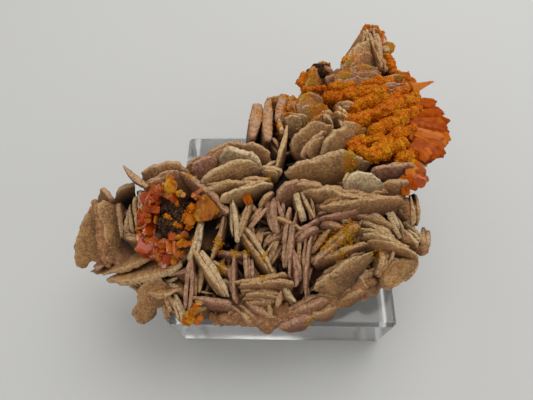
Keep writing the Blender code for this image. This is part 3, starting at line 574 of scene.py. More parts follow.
def blade(row, spacing, dice, corners=None):
    """The leaves of one blade: unequal, overlapping, and torn back from the tallest."""
    centre, along, down, half = blade_frame(row)
    normal = np.cross(along, down)
    thickness, depth, bow = row[4], row[5], row[8]
    count = int(min(MOST_LEAVES, max(1, round(thickness / LEAF + dice.uniform(-0.5, 0.4)))))
    if corners or depth < SHALLOW or bow > BROAD:
        count = 1
    widths = [dice.uniform(*LEAF_SHARE) for _ in range(count)]
    widths = [width * thickness / sum(widths) for width in widths]
    tallest, beside = dice.randrange(count), -thickness / 2
    made = []
    for leaf, width in enumerate(widths):
        lower = leaf != tallest
        middle = centre + normal * (beside + width / 2) + down * lower * dice.uniform(*TORN_DOWN)
        middle = middle + along * lower * dice.uniform(-TORN_ASIDE, TORN_ASIDE) * half
        long = half * (1 - lower * dice.uniform(0.0, TORN_SHORT))
        thick = width * (LEAF_OVERLAP if count > 1 else 1)
        made.append(plate(middle, along, down, long, thick, depth, bow, spacing, dice, corners))
        beside += width
    return made


leaves = blade(blades_front[0], 0.4, random.Random(0))
print("the first blade in front has", sum(len(leaf[1]) for leaf in leaves), "faces")

# %% [markdown]
# Two more numbers depend on where a point lies: ochre, how much yellow powder it carries, and the
# painted shade of the depths, darker the further a point lies under the hill, with some dust in it.
# They could be painted by hand, but a rule covers a thousand blades at once. The powder lies in
# patches, listed as x, y, radius and strength. Out on the flanks light comes in from the side, so
# there the painted shade is lighter.

# %% Where the yellow powder lies, and where it is dark
ochre_patches = [
    (13.5, 0.8, 2.2, 1.1), (10.5, -5.4, 1.6, 0.4), (9.5, -12.5, 2.8, 0.8), (13, -11.5, 2.6, 0.9),
    (12, -15, 1.2, 0.8), (19, -14.6, 2.4, 0.5), (-17.5, -1.8, 0.9, 0.9), (-2.5, -2.0, 1.0, 0.7),
    (-4.7, -1.8, 0.7, 0.6), (-7, -13.8, 1.1, 0.8), (-9.3, -14.3, 1.1, 0.8), (-12.5, -13, 1.4, 0.9),
    (-12, -16.5, 1.4, 0.8), (-3.5, -15.3, 1.1, 0.8), (-3.8, -18.5, 1.1, 0.8), (-16.5, -15, 1.0, 0.6),
    (-19, 2, 0.9, 0.8), (-15.5, 4.5, 0.9, 0.8), (-12, 5, 0.9, 0.6), (-18.5, -12, 1.6, 0.5),
    (-5, 15, 2.6, 0.7), (-1, 12, 2.6, 0.9), (1.5, 17, 2.8, 1.0), (4, 21.5, 4.0, 1.1),
    (8.5, 18, 3.6, 1.0), (14, 16, 3.5, 0.6), (12, 23, 4.0, 1.0), (6, 28, 4.6, 1.1),
    (9, 33, 3.4, 1.0), (17.5, 36, 4.0, 0.8), (22, 41, 3.6, 0.5), (25, 50, 2.0, 0.9),
    (26.4, 44, 1.6, 0.7), (28, 36, 4.0, 0.9), (29.5, 29, 3.4, 1.0), (23, 31, 3.0, 0.6),
    (20, 25, 4.4, 1.0), (23.4, 2.6, 1.6, 0.9), (20, 7, 4.0, 0.9), (27, 8, 4.0, 1.0),
    (0, -27.8, 2.2, 0.7), (6, -26, 1.8, 0.6), (13, -23, 1.8, 0.6), (18, -20.8, 1.6, 0.5),
    (-10, -27.2, 2.6, 0.5), (21, 13, 3.5, 1.0), (17, 12, 2.6, 0.8), (-4.8, 16, 1.4, 1.0),
    (-4.6, 19.5, 1.6, 1.1), (-2.0, 18, 1.3, 1.0), (-2.4, 21.6, 1.6, 1.1), (1, 21.5, 2.0, 1.1),
    (22.4, 49.6, 2.0, 1.0), (20.6, 46, 1.4, 0.8), (18.4, 43, 1.4, 0.8), (15.6, 39, 1.6, 0.8),
    (15, 30, 3.0, 1.0), (20, 32, 3.0, 0.9), (4, 12, 2.4, 0.7), (7, 15.5, 2.6, 0.8),
    (10, 10.5, 1.8, 0.6),
]


PAST_FROM, PAST_REACH = 0.85, 0.3  # shares of a lump's width: where the open flank begins
FLANK_LIGHT = 0.45  # how much of the painted shade of the depths is lost there


def ochre_at(points):
    x, y = points[:, 0], points[:, 1]
    amount = np.zeros(len(points))
    for px, py, radius, strength in ochre_patches:
        amount = np.maximum(amount, strength * np.exp(-((x - px) ** 2 + (y - py) ** 2) / radius**2))
    return amount


def open_air(points):
    """How far a point lies out past the rubble in plan, where light reaches the flanks, 0 to 1."""
    past = np.full(len(points), np.inf)
    for centre, sizes in rubble_lumps:
        away = (points[:, :2] - centre[:2]) / sizes[:2]
        past = np.minimum(past, np.hypot(away[:, 0], away[:, 1]))
    return np.clip((past - PAST_FROM) / PAST_REACH, 0, 1)


# painted shade: darker the further a point lies under the hill, lighter out on the open flanks
def painted_shade_at(points, reach=5.2):
    under = np.clip((hill(points[:, 0], points[:, 1]) - points[:, 2]) / reach, 0, 1)
    return under * (1 - FLANK_LIGHT * open_air(points))


print(len(ochre_patches), "patches of powder")

# %% [markdown]
# Many blades go into one mesh. An object for each blade would be slow to draw and to export, so
# a heap collects points and faces, with the finish's numbers at every point. Besides those above
# there is tone, one random number per blade, which makes one blade pinker and the next paler.

# %% Meshes from many shapes
class Heap:
    """Collects shapes in millimetres, and becomes one mesh with its numbers at every point."""

    def __init__(self):
        self.points, self.faces, self.numbers, self.count = [], [], {}, 0

    def add(self, points, faces, **numbers):
        points = np.asarray(points, float)
        self.points.append(points)
        self.faces += [[index + self.count for index in face] for face in faces]
        self.count += len(points)
        for name, value in numbers.items():
            self.numbers.setdefault(name, []).append(np.broadcast_to(value, len(points)))

    def mesh(self, name, smooth=True):
        points = np.vstack(self.points)
        points[:, 2] = np.maximum(points[:, 2], SEAT)
        made = bpy.data.meshes.new(name)
        made.from_pydata((points * MM).tolist(), [], self.faces)
        turned = bmesh.new()
        turned.from_mesh(made)
        bmesh.ops.recalc_face_normals(turned, faces=turned.faces)
        turned.to_mesh(made)
        turned.free()
        for label, values in self.numbers.items():
            kept = made.attributes.new(label, "FLOAT", "POINT")
            kept.data.foreach_set("value", np.concatenate(values).astype(np.float32))
        made.polygons.foreach_set("use_smooth", [smooth] * len(made.polygons))
        made.update()
        return made


def place(mesh, material, slot, *nodes):
    """A finished piece: it rides with the stone, and stands for the solids it covers."""
    piece = bpy.data.objects.new(mesh.name, mesh)
    bpy.context.scene.collection.objects.link(piece)
    mesh.materials.append(material)
    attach(piece, "root")
    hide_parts(*nodes)
    triangles = sum(len(face.vertices) - 2 for face in mesh.polygons)
    print(mesh.name, triangles, "triangles")
    return piece


# %% [markdown]
# ## Finishes
# A mineral's colour is never flat. Each finish starts from the mineral's own colour and then
# varies it by noise at real distances, so one node helper is enough: it makes a node, sets its
# options, and fills or links its sockets. Stains, wear, a painted highlight and painted shade lie
# over that colour as coats.
# A loop lays them, and each has what drives it, its stops, a weight and a colour.

# %% Colours and nodes
def linear(code):
    """An sRGB colour such as #C2A888, as the linear numbers that a shader takes."""
    parts = [int(code[i : i + 2], 16) / 255 for i in (1, 3, 5)]
    return (*[p / 12.92 if p <= 0.04045 else ((p + 0.055) / 1.055) ** 2.4 for p in parts], 1.0)


def add(tree, kind, inputs=None, out=0, stops=(), **settings):
    """Adds one node with its settings and links, and hands back one of its outputs."""
    made = tree.nodes.new("ShaderNode" + kind)
    for key, value in settings.items():
        setattr(made, key, value)
    for socket, value in (inputs or {}).items():
        if isinstance(value, bpy.types.NodeSocket):
            tree.links.new(value, made.inputs[socket])
        else:
            made.inputs[socket].default_value = value
    for index, (position, colour) in enumerate(stops):
        band = made.color_ramp.elements
        element = band[index] if index < len(band) else band.new(position)
        element.position = position
        element.color = linear(colour) if isinstance(colour, str) else (colour, colour, colour, 1)
    return made.outputs[out]


def finish(name, values):
    """A new material, with plain values set on its shader."""
    made = bpy.data.materials.new(name)
    made.use_nodes = True
    shader = made.node_tree.nodes["Principled BSDF"]
    for socket, value in values.items():
        shader.inputs[socket].default_value = value
    return made, made.node_tree, shader


def per_mm(pitch):
    """Noise scale for a pattern of this pitch in millimetres, on coordinates in metres."""
    return 1 / (pitch * MM)


def coated(tree, face, coats):
    """A colour under coats, each with what drives it, its stops, its weight and its colour."""
    for driver, stops, weight, colour in coats:
        amount = add(tree, "ValToRGB", {0: driver}, stops=stops)
        amount = add(tree, "Math", {0: amount, 1: weight}, operation="MULTIPLY")
        colour = linear(colour) if isinstance(colour, str) else colour
        face = add(tree, "Mix", {0: amount, 6: face, 7: colour}, out=2, data_type="RGBA")
    return face


print("tan as a shader sees it:", [round(part, 3) for part in linear("#A87446")])


# %% [markdown]
# Barite is a heavy white sulphate, but here it is stained tan and pinkish brown, and a skin of
# quartz grit makes it matt. The upper rims are cream, a painted highlight with some wear. Down in
# the gaps it is dark with painted shade, and some dust and iron. The finish reads the numbers that
# the blades keep at their points.

# %% Stained barite
def stained_barite():
    made, tree, shader = finish(
        "barite_drusy_stained", {"Roughness": 0.75, "Specular IOR Level": 0.3}
    )
    where = add(tree, "TexCoord", out=3)
    tone, rim, side, deep, ochre, layer, run = [
        add(tree, "Attribute", out=2, attribute_name=name)
        for name in ("tone", "rim", "side", "deep", "ochre", "layer", "run")]
    blotch, grit, specks = [
        add(
            tree, "TexNoise",
            {"Vector": where, "Scale": per_mm(pitch), "Detail": detail, "Roughness": rough},
        )
        for pitch, detail, rough in ((2.5, 4.0, 0.5), (0.5, 4.0, 0.65), (0.6, 3.0, 0.5))
    ]
    drawn = add(tree, "CombineXYZ", {0: run, 1: layer})
    drawn = add(tree, "VectorMath", {0: drawn, 1: (0.25, 1.6, 1.0)}, operation="MULTIPLY")
    streak = add(tree, "TexNoise", {"Vector": drawn, "Scale": 1.0, "Detail": 2.0})

    face, pale, shade_colour, powder = [
        add(tree, "ValToRGB", {0: driver}, stops=stops)
        for driver, stops in (
            (tone, [(0.0, "#9C624C"), (0.25, "#A26A4A"), (0.5, "#A87446"), (0.75, "#BA8A50"),
                    (1.0, "#E0C292")]),
            (tone, [(0.0, "#CC9E84"), (0.3, "#D0A27C"), (0.6, "#D4AA78"), (1.0, "#F2DAAE")]),
            # the colours of the painted shade in the gaps
            (deep, [(0.3, "#54321C"), (0.7, "#120905")]),
            (blotch, [(0.42, "#A8820C"), (0.58, "#BC6C06")]),
        )
    ]
    dusting = add(tree, "Math", {0: ochre, 1: 0.62, 2: specks}, operation="MULTIPLY_ADD")
    face = coated(tree, face, [
        (blotch, [(0.38, 0.6), (0.62, 0.0)], 1.0, "#6A442A"),  # brown stains
        (streak, [(0.38, 0.85), (0.54, 0.0)], side, "#543828"),  # lines between the layers
        (grit, [(0.32, 0.5), (0.46, 0.0)], 1.0, "#4A2A16"),  # pits in the grit
        (grit, [(0.5, 0.0), (0.66, 0.55)], 1.0, pale),  # grains of the grit
        (grit, [(0.35, 0.2), (0.55, 0.9)], rim, pale),  # painted highlight and wear on the rims
        (deep, [(0.08, 0.0), (0.36, 0.7), (0.75, 0.98)], 1.0, shade_colour),  # shade in the gaps
        (dusting, [(0.9, 0.0), (1.0, 0.9)], 1.0, powder),  # yellow powder
    ])
    tree.links.new(face, shader.inputs["Base Color"])
    ribs = add(tree, "Math", {0: streak, 1: side}, operation="MULTIPLY")
    relief = add(tree, "Math", {0: ribs, 1: grit}, operation="ADD")
    bump = add(tree, "Bump", {"Strength": 0.9, "Distance": 0.35 * MM, "Height": relief})
    tree.links.new(bump, shader.inputs["Normal"])
    return made


barite = stained_barite()
print("made", barite.name)

# %% [markdown]
# The colour of a blade is thrown by dice too, but some parts of the stone are clearly paler and
# others pinker. A short list says where, as x, y, radius and tone, and a blade near such a place
# takes its tone.

# %% Where the stone is pale
pale_places = [
    (16.0, -3.3, 4.0, 1.0), (9.0, 0.6, 6.0, 0.75), (-8.0, 2.5, 6.0, 0.85),
    (-11.0, -3.0, 4.0, 0.8), (12.0, 9.0, 4.5, 0.8), (12.0, -16.0, 5.0, 0.75),
    (23.0, -16.5, 4.0, 0.7), (-27.0, -17.0, 5.0, 0.8), (-33.0, -1.0, 3.0, 0.7),
    (-28.0, -22.0, 4.0, 0.75), (18.0, 38.0, 5.0, 0.7), (24.3, 42.0, 2.5, 0.8),
    (-3.0, -20.5, 4.5, 0.7), (1.0, -13.0, 3.0, 0.1), (-6.0, -17.0, 2.5, 0.15),
    (-3.0, -9.0, 3.0, 0.2), (18.0, 30.0, 5.0, 0.1), (27.0, 27.0, 4.0, 0.2),
    (5.0, 15.0, 7.0, 0.65), (25.0, -10.0, 6.0, 0.9), (-39.0, -8.0, 5.0, 0.65),
]


PULL = 0.85  # how strongly a place draws the tone of a blade at its middle


def tone_of(row, dice):
    """A tone thrown by dice, drawn towards that of a place nearby."""
    x, y, tone = (row[0] + row[2]) / 2, (row[1] + row[3]) / 2, dice.uniform(0.0, 0.85)
    for px, py, radius, wanted in pale_places:
        pull = PULL * math.exp(-((x - px) ** 2 + (y - py) ** 2) / radius**2)
        tone += (wanted - tone) * pull
    return tone


print(len(pale_places), "places set the tone")

# %% [markdown]
# Now the blades become four pieces, one for each region. One mesh would do, but smaller pieces
# are easier to check. All of them stand for the one barite solid. The foot of a blade gets painted
# shade, wherever it stands, and a blade that leans far over lies open to the light, with less of it.

# %% Blades of barite
SPACING = 0.42  # mm between points
FOOT_SHADE, BROAD_FOOT_SHADE = 0.7, 0.4  # how strong the painted shade at the foot of a blade or a broad leaf is
LEAST_DEEP, OPEN_LEAN = 0.3, 45  # share of the painted shade that a blade leaning far over still takes; degrees
LEAF_TONE = 0.12  # how far the leaves of one blade differ in tone


def barite_piece(name, rows, gaps, seed, broad=()):
    dice = random.Random(seed)
    heap = Heap()
    for row, corners in [(row, None) for row in rows + gaps] + list(broad):
        tone = tone_of(row, dice)
        for points, faces, numbers in blade(row, SPACING, dice, corners=corners):
            # painted shade: deep under the hill and at the foot, less where a blade leans open to
            # the light
            deep = painted_shade_at(points) * max(LEAST_DEEP, 1 - abs(row[7]) / OPEN_LEAN)
            foot = numbers.pop("foot") * (BROAD_FOOT_SHADE if corners else FOOT_SHADE)
            deep = np.maximum(deep, foot * (1 - FLANK_LIGHT * open_air(points)))
            leaf = tone + dice.uniform(-LEAF_TONE, LEAF_TONE)
            heap.add(points, faces, tone=leaf, deep=deep, ochre=ochre_at(points), **numbers)
    return place(heap.mesh(name), barite, "barite", "barite_matrix")


barite_pieces = [
    barite_piece("barite_blades_left", blades_left, gaps_left, 1, leaves_left),
    barite_piece("barite_blades_front", blades_front, gaps_front, 2),
    barite_piece("barite_blades_right", blades_right, gaps_right, 3, leaves_right),
    barite_piece("barite_blades_back", blades_crest + blades_back, gaps_back, 4, leaves_back),
]

# %% [markdown]
# Between and under the blades the stone is rubble: broken stubs, too small to tell apart. Each
# lump is a sphere pulled to size. Noise at a few pitches makes it lumpy and then crumbly, and
# short blades point out of its flanks and underside, with their feet inside it.

# %% Rubble and flanks
LUMP_SUBDIVISIONS, LUMP_ROUGH, LUMP_PITCH = 5, 0.14, 3.5  # a share of the size, mm
CRUMBS = ((1.6, 0.45), (0.8, 0.25))  # pitch and height of the crumbly surface, mm
FLANK_BLADES, FLANK_DIP, FLANK_OUT = 160, (-70, 12), (0.6, 2.4)  # count, degrees, mm
FLANK_HALF, FLANK_THICKNESS, FLANK_DEPTH, FLANK_BOW = (1.8, 4.4), (0.8, 1.6), 4.0, (0.3, 1.2)  # mm
FLANK_FOOT, FLANK_TONE = 0.4, (0.1, 0.9)  # how strong the painted shade at a foot is there, and the tones
RUBBLE_TONE, TONE_PITCH, WEAR_PITCH, MOST_WEAR = (0.4, 0.5), 4.0, 1.1, 0.8  # tone and its swing; mm
LEAST_COVERED = 0.15  # the underside of a lump is open to the light, and hardly darkened


def ball(subdivisions):
    shape = bmesh.new()
    bmesh.ops.create_icosphere(shape, subdivisions=subdivisions, radius=1)
    points = np.array([vert.co[:] for vert in shape.verts])
    faces = [[vert.index for vert in face.verts] for face in shape.faces]
    shape.free()
    return points, faces


def lump(centre, sizes, roughness, pitch, subdivisions):
    points, faces = ball(subdivisions)
    points = points * np.array(sizes)
    bumps = noise_at(points, pitch, centre[0]) + 0.5 * noise_at(points, pitch / 2.3)
    return np.array(centre) + points * (1 + roughness * bumps)[:, None], faces


def rubble():
    dice = random.Random(6)
    heap = Heap()
    for centre, sizes in rubble_lumps:
        points, faces = lump(centre, sizes, LUMP_ROUGH, LUMP_PITCH, LUMP_SUBDIVISIONS)
        covered = np.clip((points[:, 2] - centre[2]) / sizes[2], LEAST_COVERED, 1)
        away = points - centre
        away /= np.linalg.norm(away, axis=1)[:, None]
        crumbs = sum(height * noise_at(points, pitch) for pitch, height in CRUMBS)
        points = points + away * crumbs[:, None]
        tone = RUBBLE_TONE[0] + RUBBLE_TONE[1] * noise_at(points, TONE_PITCH)
        rim = np.clip(2 * noise_at(points, WEAR_PITCH), 0, MOST_WEAR)
        # painted shade under the hill, weaker on a lump's underside
        heap.add(
            points, faces, tone=tone, rim=rim, deep=painted_shade_at(points) * covered,
            ochre=0.0, side=0.0, layer=0.0, run=0.0,
        )
    for _ in range(FLANK_BLADES):
        centre, sizes = dice.choice(rubble_lumps)
        bearing, height = dice.uniform(0, 2 * math.pi), math.radians(dice.uniform(*FLANK_DIP))
        level, rise = math.cos(height), math.sin(height)
        way = np.array((math.cos(bearing) * level, math.sin(bearing) * level, rise))
        out = unit(way / np.array(sizes))
        along = unit(np.cross(out, (dice.gauss(0, 1), dice.gauss(0, 1), 0.4)))
        root = np.array(centre) + way * sizes + out * dice.uniform(*FLANK_OUT)
        points, faces, numbers = plate(
            root, along, -out, dice.uniform(*FLANK_HALF), dice.uniform(*FLANK_THICKNESS),
            FLANK_DEPTH, dice.uniform(*FLANK_BOW), SPACING * 2, dice,
        )
        # painted shade at the foot of a flank blade
        deep = FLANK_FOOT * numbers.pop("foot")
        tone = dice.uniform(*FLANK_TONE)
        heap.add(points, faces, tone=tone, deep=deep, ochre=0.0, **numbers)
    return place(heap.mesh("barite_rubble"), barite, "barite", "barite_matrix")


rubble()

# %% [markdown]
# Along the front rim and on the worn edges at the left the blades are too crowded to tell apart,
# and only a lumpy mass is left. Spheres alone would look like a bunch of grapes, so chains of
# small lumps are shrunk into one skin by a voxel remesh. That gives even small faces, and noise
# along the normals gives the grit. The crust of mimetite and the ore are made the same way.

# %% Lumps fused into one skin
KNOB_SPACING, KNOB_STRAY = 0.24, 0.11  # along and beside a chain, as shares of its width
KNOB_SIZE, KNOB_TALL, KNOB_SUNK, KNOB_LIFT = (0.6, 1.0), 1.3, 0.7, 0.25  # shares; mm
KNOB_ROUGH, KNOB_PITCH = 0.2, 1.1  # a share of the size, mm


def fused(heap, pitch):
    """One closed skin round all the shapes of a heap, still in millimetres."""
    mesh = bpy.data.meshes.new("fused")
    mesh.from_pydata(np.vstack(heap.points).tolist(), [], heap.faces)
    holder = bpy.data.objects.new("fused", mesh)
    bpy.context.scene.collection.objects.link(holder)
    skin = holder.modifiers.new("skin", "REMESH")
    skin.mode = "VOXEL"
    skin.voxel_size = pitch
    made = bpy.data.meshes.new_from_object(
        holder.evaluated_get(bpy.context.evaluated_depsgraph_get())
    )
    points = np.array([vert.co[:] for vert in made.vertices])
    normals = np.array([vert.normal[:] for vert in made.vertices])
    faces = [list(face.vertices) for face in made.polygons]
    bpy.data.objects.remove(holder)
    return points, normals, faces


def knob_chain(heap, rows, dice):
    """Chains of small lumps, each along a row: x, y of both ends, width, height over the hill."""
    for x1, y1, x2, y2, width, lift in rows:
        knobs = int(math.hypot(x2 - x1, y2 - y1) / (KNOB_SPACING * width)) + 1
        for knob in range(knobs):
            share = (knob + 0.5) / knobs
            x = x1 + (x2 - x1) * share + dice.gauss(0, KNOB_STRAY) * width
            y = y1 + (y2 - y1) * share + dice.gauss(0, KNOB_STRAY) * width
            size = width / 2 * dice.uniform(*KNOB_SIZE)
            z = float(hill(x, y)) + lift - KNOB_SUNK * size + dice.gauss(0, KNOB_LIFT)
            sizes = (size, size, size * KNOB_TALL)
            heap.add(*lump((x, y, z), sizes, KNOB_ROUGH, KNOB_PITCH, 2))


# %% Crowded rims
APRON_SKIN = 0.34  # mm between the points of the skin
APRON_SWELL = ((2.4, 0.35), (1.2, 0.30), (0.6, 0.14))  # pitch and height of its form, mm
APRON_TONE, APRON_DEEP = 0.45, 7.0  # mm under the hill where its painted shade is darkest
apron_chains = [  # x, y of one end, x, y of the other, width, height over the hill
    (-14.6, -24.8, -9.0, -25.4, 3.0, -1.6),
    (-9.6, -25.2, -4.4, -25.6, 3.2, -1.5),
    (-5.4, -25.2, -2.2, -26.4, 3.0, -1.0),
    (-3.2, -26.2, 1.4, -24.8, 3.0, -1.0),
    (-4.8, -23.4, 1.6, -22.8, 2.6, -1.8),
    (0.2, -24.6, 7.0, -23.2, 3.2, -1.0),
    (5.6, -23.4, 11.6, -21.6, 3.4, -1.0),
    (10.4, -21.8, 15.8, -19.6, 3.4, -1.0),
    (14.6, -19.8, 19.0, -18.0, 3.0, -1.4),
    (-39.6, -3.4, -39.2, -7.4, 2.6, 0.5),
    (-39.0, -7.0, -37.4, -14.4, 2.4, 0.5),
    (-31.0, -19.6, -24.0, -19.2, 2.4, -3.8),
    (-24.0, -19.6, -20.6, -22.4, 2.4, -3.4),
    (24.4, -11.0, 29.0, -13.6, 2.2, -1.4),
    (22.4, -4.6, 26.2, -7.4, 2.4, -1.4),
]


def apron():
    dice = random.Random(9)
    heap = Heap()
    knob_chain(heap, apron_chains, dice)
    points, normals, faces = fused(heap, APRON_SKIN)
    swell = sum(height * noise_at(points, pitch) for pitch, height in APRON_SWELL)
    points = points + normals * swell[:, None]
    mass = Heap()
    # painted shade under the hill
    mass.add(
        points, faces, tone=APRON_TONE, deep=painted_shade_at(points, APRON_DEEP), ochre=ochre_at(points),
        rim=0.0, side=0.0, layer=0.0, run=0.0,
    )
    return place(mass.mesh("barite_crowded_rims"), barite, "barite", "barite_matrix")


apron()

# %% [markdown]
# Mimetite is a lead arsenate. Here it is a druse: a skin of crystals smaller than a grain of
# sugar, yellow where it is thin and deep orange where it is thick. Thick parts are ridges that
# follow the blades beneath: strings of knobs, fused into one skin whose every crystal stands out
# a little. Thousands of tiny faceted grains sit on them. Thin parts are grains alone, thrown on
# the barite where the ochre number is high.

# %% Mimetite finish
def mimetite_druse():
    made, tree, shader = finish("mimetite_druse", {"Roughness": 0.65, "Specular IOR Level": 0.12})
    where = add(tree, "TexCoord", out=3)
    tone, deep, rise = [
        add(tree, "Attribute", out=2, attribute_name=name) for name in ("tone", "deep", "rise")]
    cloud = add(tree, "TexNoise", {"Vector": where, "Scale": per_mm(4.0), "Detail": 3.0})
    grain = add(tree, "TexVoronoi", {"Vector": where, "Scale": per_mm(0.32)})
    blend = add(tree, "Math", {0: tone, 1: 0.35, 2: cloud}, operation="MULTIPLY_ADD")
    skin = add(
        tree, "ValToRGB", {0: blend},
        stops=[(0.35, "#B45402"), (0.52, "#CC6602"), (0.7, "#D87A06"), (0.86, "#D68C08"),
               (1.0, "#C49A14")],
    )
    skin = coated(tree, skin, [
        (rise, [(0.05, 0.6), (0.25, 0.0)], 1.0, "#6A2C02"),  # painted shade in the pits between crystals
        (grain, [(0.35, 0.0), (0.8, 0.5)], 1.0, "#8A3C02"),  # joints of the finest crystals
        (deep, [(0.25, 0.0), (0.8, 0.85)], 1.0, "#3A1A06"),  # shade in the gaps
    ])
    tree.links.new(skin, shader.inputs["Base Color"])
    bump = add(tree, "Bump", {"Strength": 0.8, "Distance": -0.15 * MM, "Height": grain})
    tree.links.new(bump, shader.inputs["Normal"])
    return made


mimetite = mimetite_druse()
print("made", mimetite.name)

# %% [markdown]
# The ridges of the crust wind over the blades beneath, so their lines are given as chains
# of knobs, with two beds under the thickest part. A bump alone would leave the outline smooth, so
# the skin itself rises a little at every crystal, and its faces stay flat so that they glitter.

# %% Ridges of the crust
crust_ridges = [  # x, y of one end, x, y of the other, width, height over the hill
    (10.6, 21.8, 17.2, 23.2, 2.9, 0.2),
    (16.0, 23.0, 23.8, 24.6, 3.4, 0.3),
    (11.4, 25.4, 17.0, 26.6, 2.9, -0.4),
    (18.6, 26.8, 26.0, 28.0, 3.1, -0.4),
    (22.6, 24.6, 24.4, 18.8, 2.9, 0.0),
    (16.4, 18.6, 21.6, 21.6, 2.9, -0.2),
    (15.6, 13.4, 22.4, 17.2, 3.4, 0.4),
    (22.6, 16.9, 30.6, 22.2, 3.8, 0.4),
    (24.6, 21.2, 29.6, 25.0, 2.9, 0.0),
    (20.0, 10.6, 27.4, 15.4, 3.8, 0.3),
    (25.4, 14.4, 31.0, 18.4, 3.4, 0.2),
    (20.6, 7.6, 28.6, 11.6, 3.4, 0.1),
    (15.2, 8.2, 21.0, 8.6, 2.6, -0.2),
    (17.4, 4.4, 25.6, 7.4, 2.9, 0.0),
    (14.2, 6.8, 17.8, 3.2, 2.6, 0.2),
    (18.0, 3.0, 22.6, 5.2, 2.6, 0.0),
    (23.6, 3.0, 27.2, 4.6, 2.4, -0.3),
    (22.6, 50.0, 25.8, 49.6, 2.0, 0.4),
    (26.2, 49.2, 26.8, 46.6, 1.5, 0.1),
    (26.4, 37.4, 27.4, 33.4, 2.4, -0.2),
    (27.0, 31.2, 30.6, 30.2, 1.6, 0.0),
    (30.8, 29.6, 31.2, 23.6, 2.9, 0.0),
    (15.0, 34.8, 16.4, 37.0, 1.6, 0.2),
    (4.6, 26.0, 5.6, 30.6, 1.8, 0.3),
    (5.2, 24.4, 10.0, 24.6, 1.6, 0.2),
    (-17.8, -7.0, -18.4, -10.2, 1.9, 0.0),
    (-19.0, -7.6, -19.4, -9.2, 1.4, -0.3),
    (-23.4, -8.2, -21.8, -8.8, 0.9, 0.3),
    (-22.2, -9.4, -20.0, -10.2, 0.9, 0.3),
    (-17.2, -5.0, -16.4, -5.8, 0.8, 0.8),
    (-20.8, -6.2, -20.4, -6.8, 0.6, 0.6),
    (-17.4, -23.2, -19.4, -26.2, 1.8, 0.2),
]
crust_beds = [((23.5, 12.5, 35.9), (6.8, 9.8, 2.8)), ((17.5, 23.5, 35.6), (7.5, 4.6, 2.3))]
SKIN = 0.20  # mm between the points of the skin
SWELL = ((1.8, 0.26), (0.7, 0.18))  # pitch and height of the knobbly form, mm
GRAIN_PITCH, GRAIN_RISE = 0.40, 0.26  # mm: one crystal of the druse, and how far it stands out
BED_ROUGH, BED_PITCH = 0.2, 2.5  # a share of the size, mm
CRUST_DEEP = 6.5  # mm under the hill where its painted shade is darkest


def crystal_grains(points, pitch):
    """How far each point lies up a crystal of the druse, 0 to 1, and a number for the crystal."""
    rise, number = [], []
    for point in (points / pitch).tolist():
        distances, seeds = noise.voronoi(point)
        rise.append(1 - min(1, distances[0] ** 0.5 * 1.1))
        number.append(noise.noise(seeds[0] * 7.7))
    return np.array(rise), np.clip(0.5 + 0.9 * np.array(number), 0, 1)


def crystal_skin(heap, skin, swells, pitch, height):
    """Fuses a heap, and roughens its skin by noise and crystal by crystal."""
    points, normals, faces = fused(heap, skin)
    swell = sum(rough * noise_at(points, reach) for reach, rough in swells)
    rise, number = crystal_grains(points, pitch)
    return points + normals * (swell + height * rise)[:, None], faces, rise, number


def crust():
    dice = random.Random(7)
    heap = Heap()
    knob_chain(heap, crust_ridges, dice)
    for centre, sizes in crust_beds:
        heap.add(*lump(centre, sizes, BED_ROUGH, BED_PITCH, 4))
    points, faces, rise, number = crystal_skin(heap, SKIN, SWELL, GRAIN_PITCH, GRAIN_RISE)
    crusted = Heap()
    # painted shade under the hill
    crusted.add(points, faces, tone=number, deep=painted_shade_at(points, CRUST_DEEP), rise=rise)
    mesh = crusted.mesh("mimetite_crust_ridges", smooth=False)
    return place(mesh, mimetite, "mimetite", "mimetite_crust")


crust_piece = crust()

# %% [markdown]
# Single crystals stand on the crust and lie scattered on the blades. Each is a small ball of flat
# faces, squeezed and turned by dice. Particles would not survive the export, so the grains are
# real faces in one mesh, set where the powder is thick and the surface looks up.

# %% Grains of mimetite
GRAIN_POINTS, GRAIN_FACES = ball(1)
GRAIN_STRAY, GRAIN_PROUD = 0.18, 0.3  # mm aside; how far it stands out, a share of its size
SIZE_LEAN, SQUEEZE = (1.4, 2.6), (0.7, 1.3)  # more small grains than large; how uneven one is
CRUST_GRAINS, CRUST_SIZES = 1600, (0.2, 0.55)  # mm
BLADE_GRAINS, BLADE_SIZES = (300, 900, 1300, 3400), (0.16, 0.58)  # for each region; mm
YELLOWER, YELLOW_UP_TO = 0.75, 3.0  # towards the front, up to this y in mm, the grains are yellow
CRUST_DEEPEST, BLADE_DEEPEST = 0.55, 0.7  # no grains where it is darker than this
CRUST_TURNED, BLADE_TURNED = -0.3, -0.2  # nor where the surface looks down more than this
LEAST_POWDER, SPOT_PITCH, SPOT_SHARE = 0.25, 1.3, 0.35  # nor under so little powder; mm, share


def grain_sites(piece, count, chance, rng):
    """Points on a piece, thrown at random where the chance is high, with their normals."""
    mesh = piece.data
    points, normals = np.empty(len(mesh.vertices) * 3), np.empty(len(mesh.vertices) * 3)
    mesh.vertices.foreach_get("co", points)
    mesh.vertices.foreach_get("normal", normals)
    points, normals = points.reshape(-1, 3) / MM, normals.reshape(-1, 3)
    weight = chance(points, normals)
    count = min(count, int((weight > 0).sum()))
    chosen = rng.choice(len(points), count, replace=False, p=weight / weight.sum())
    return points[chosen], normals[chosen]


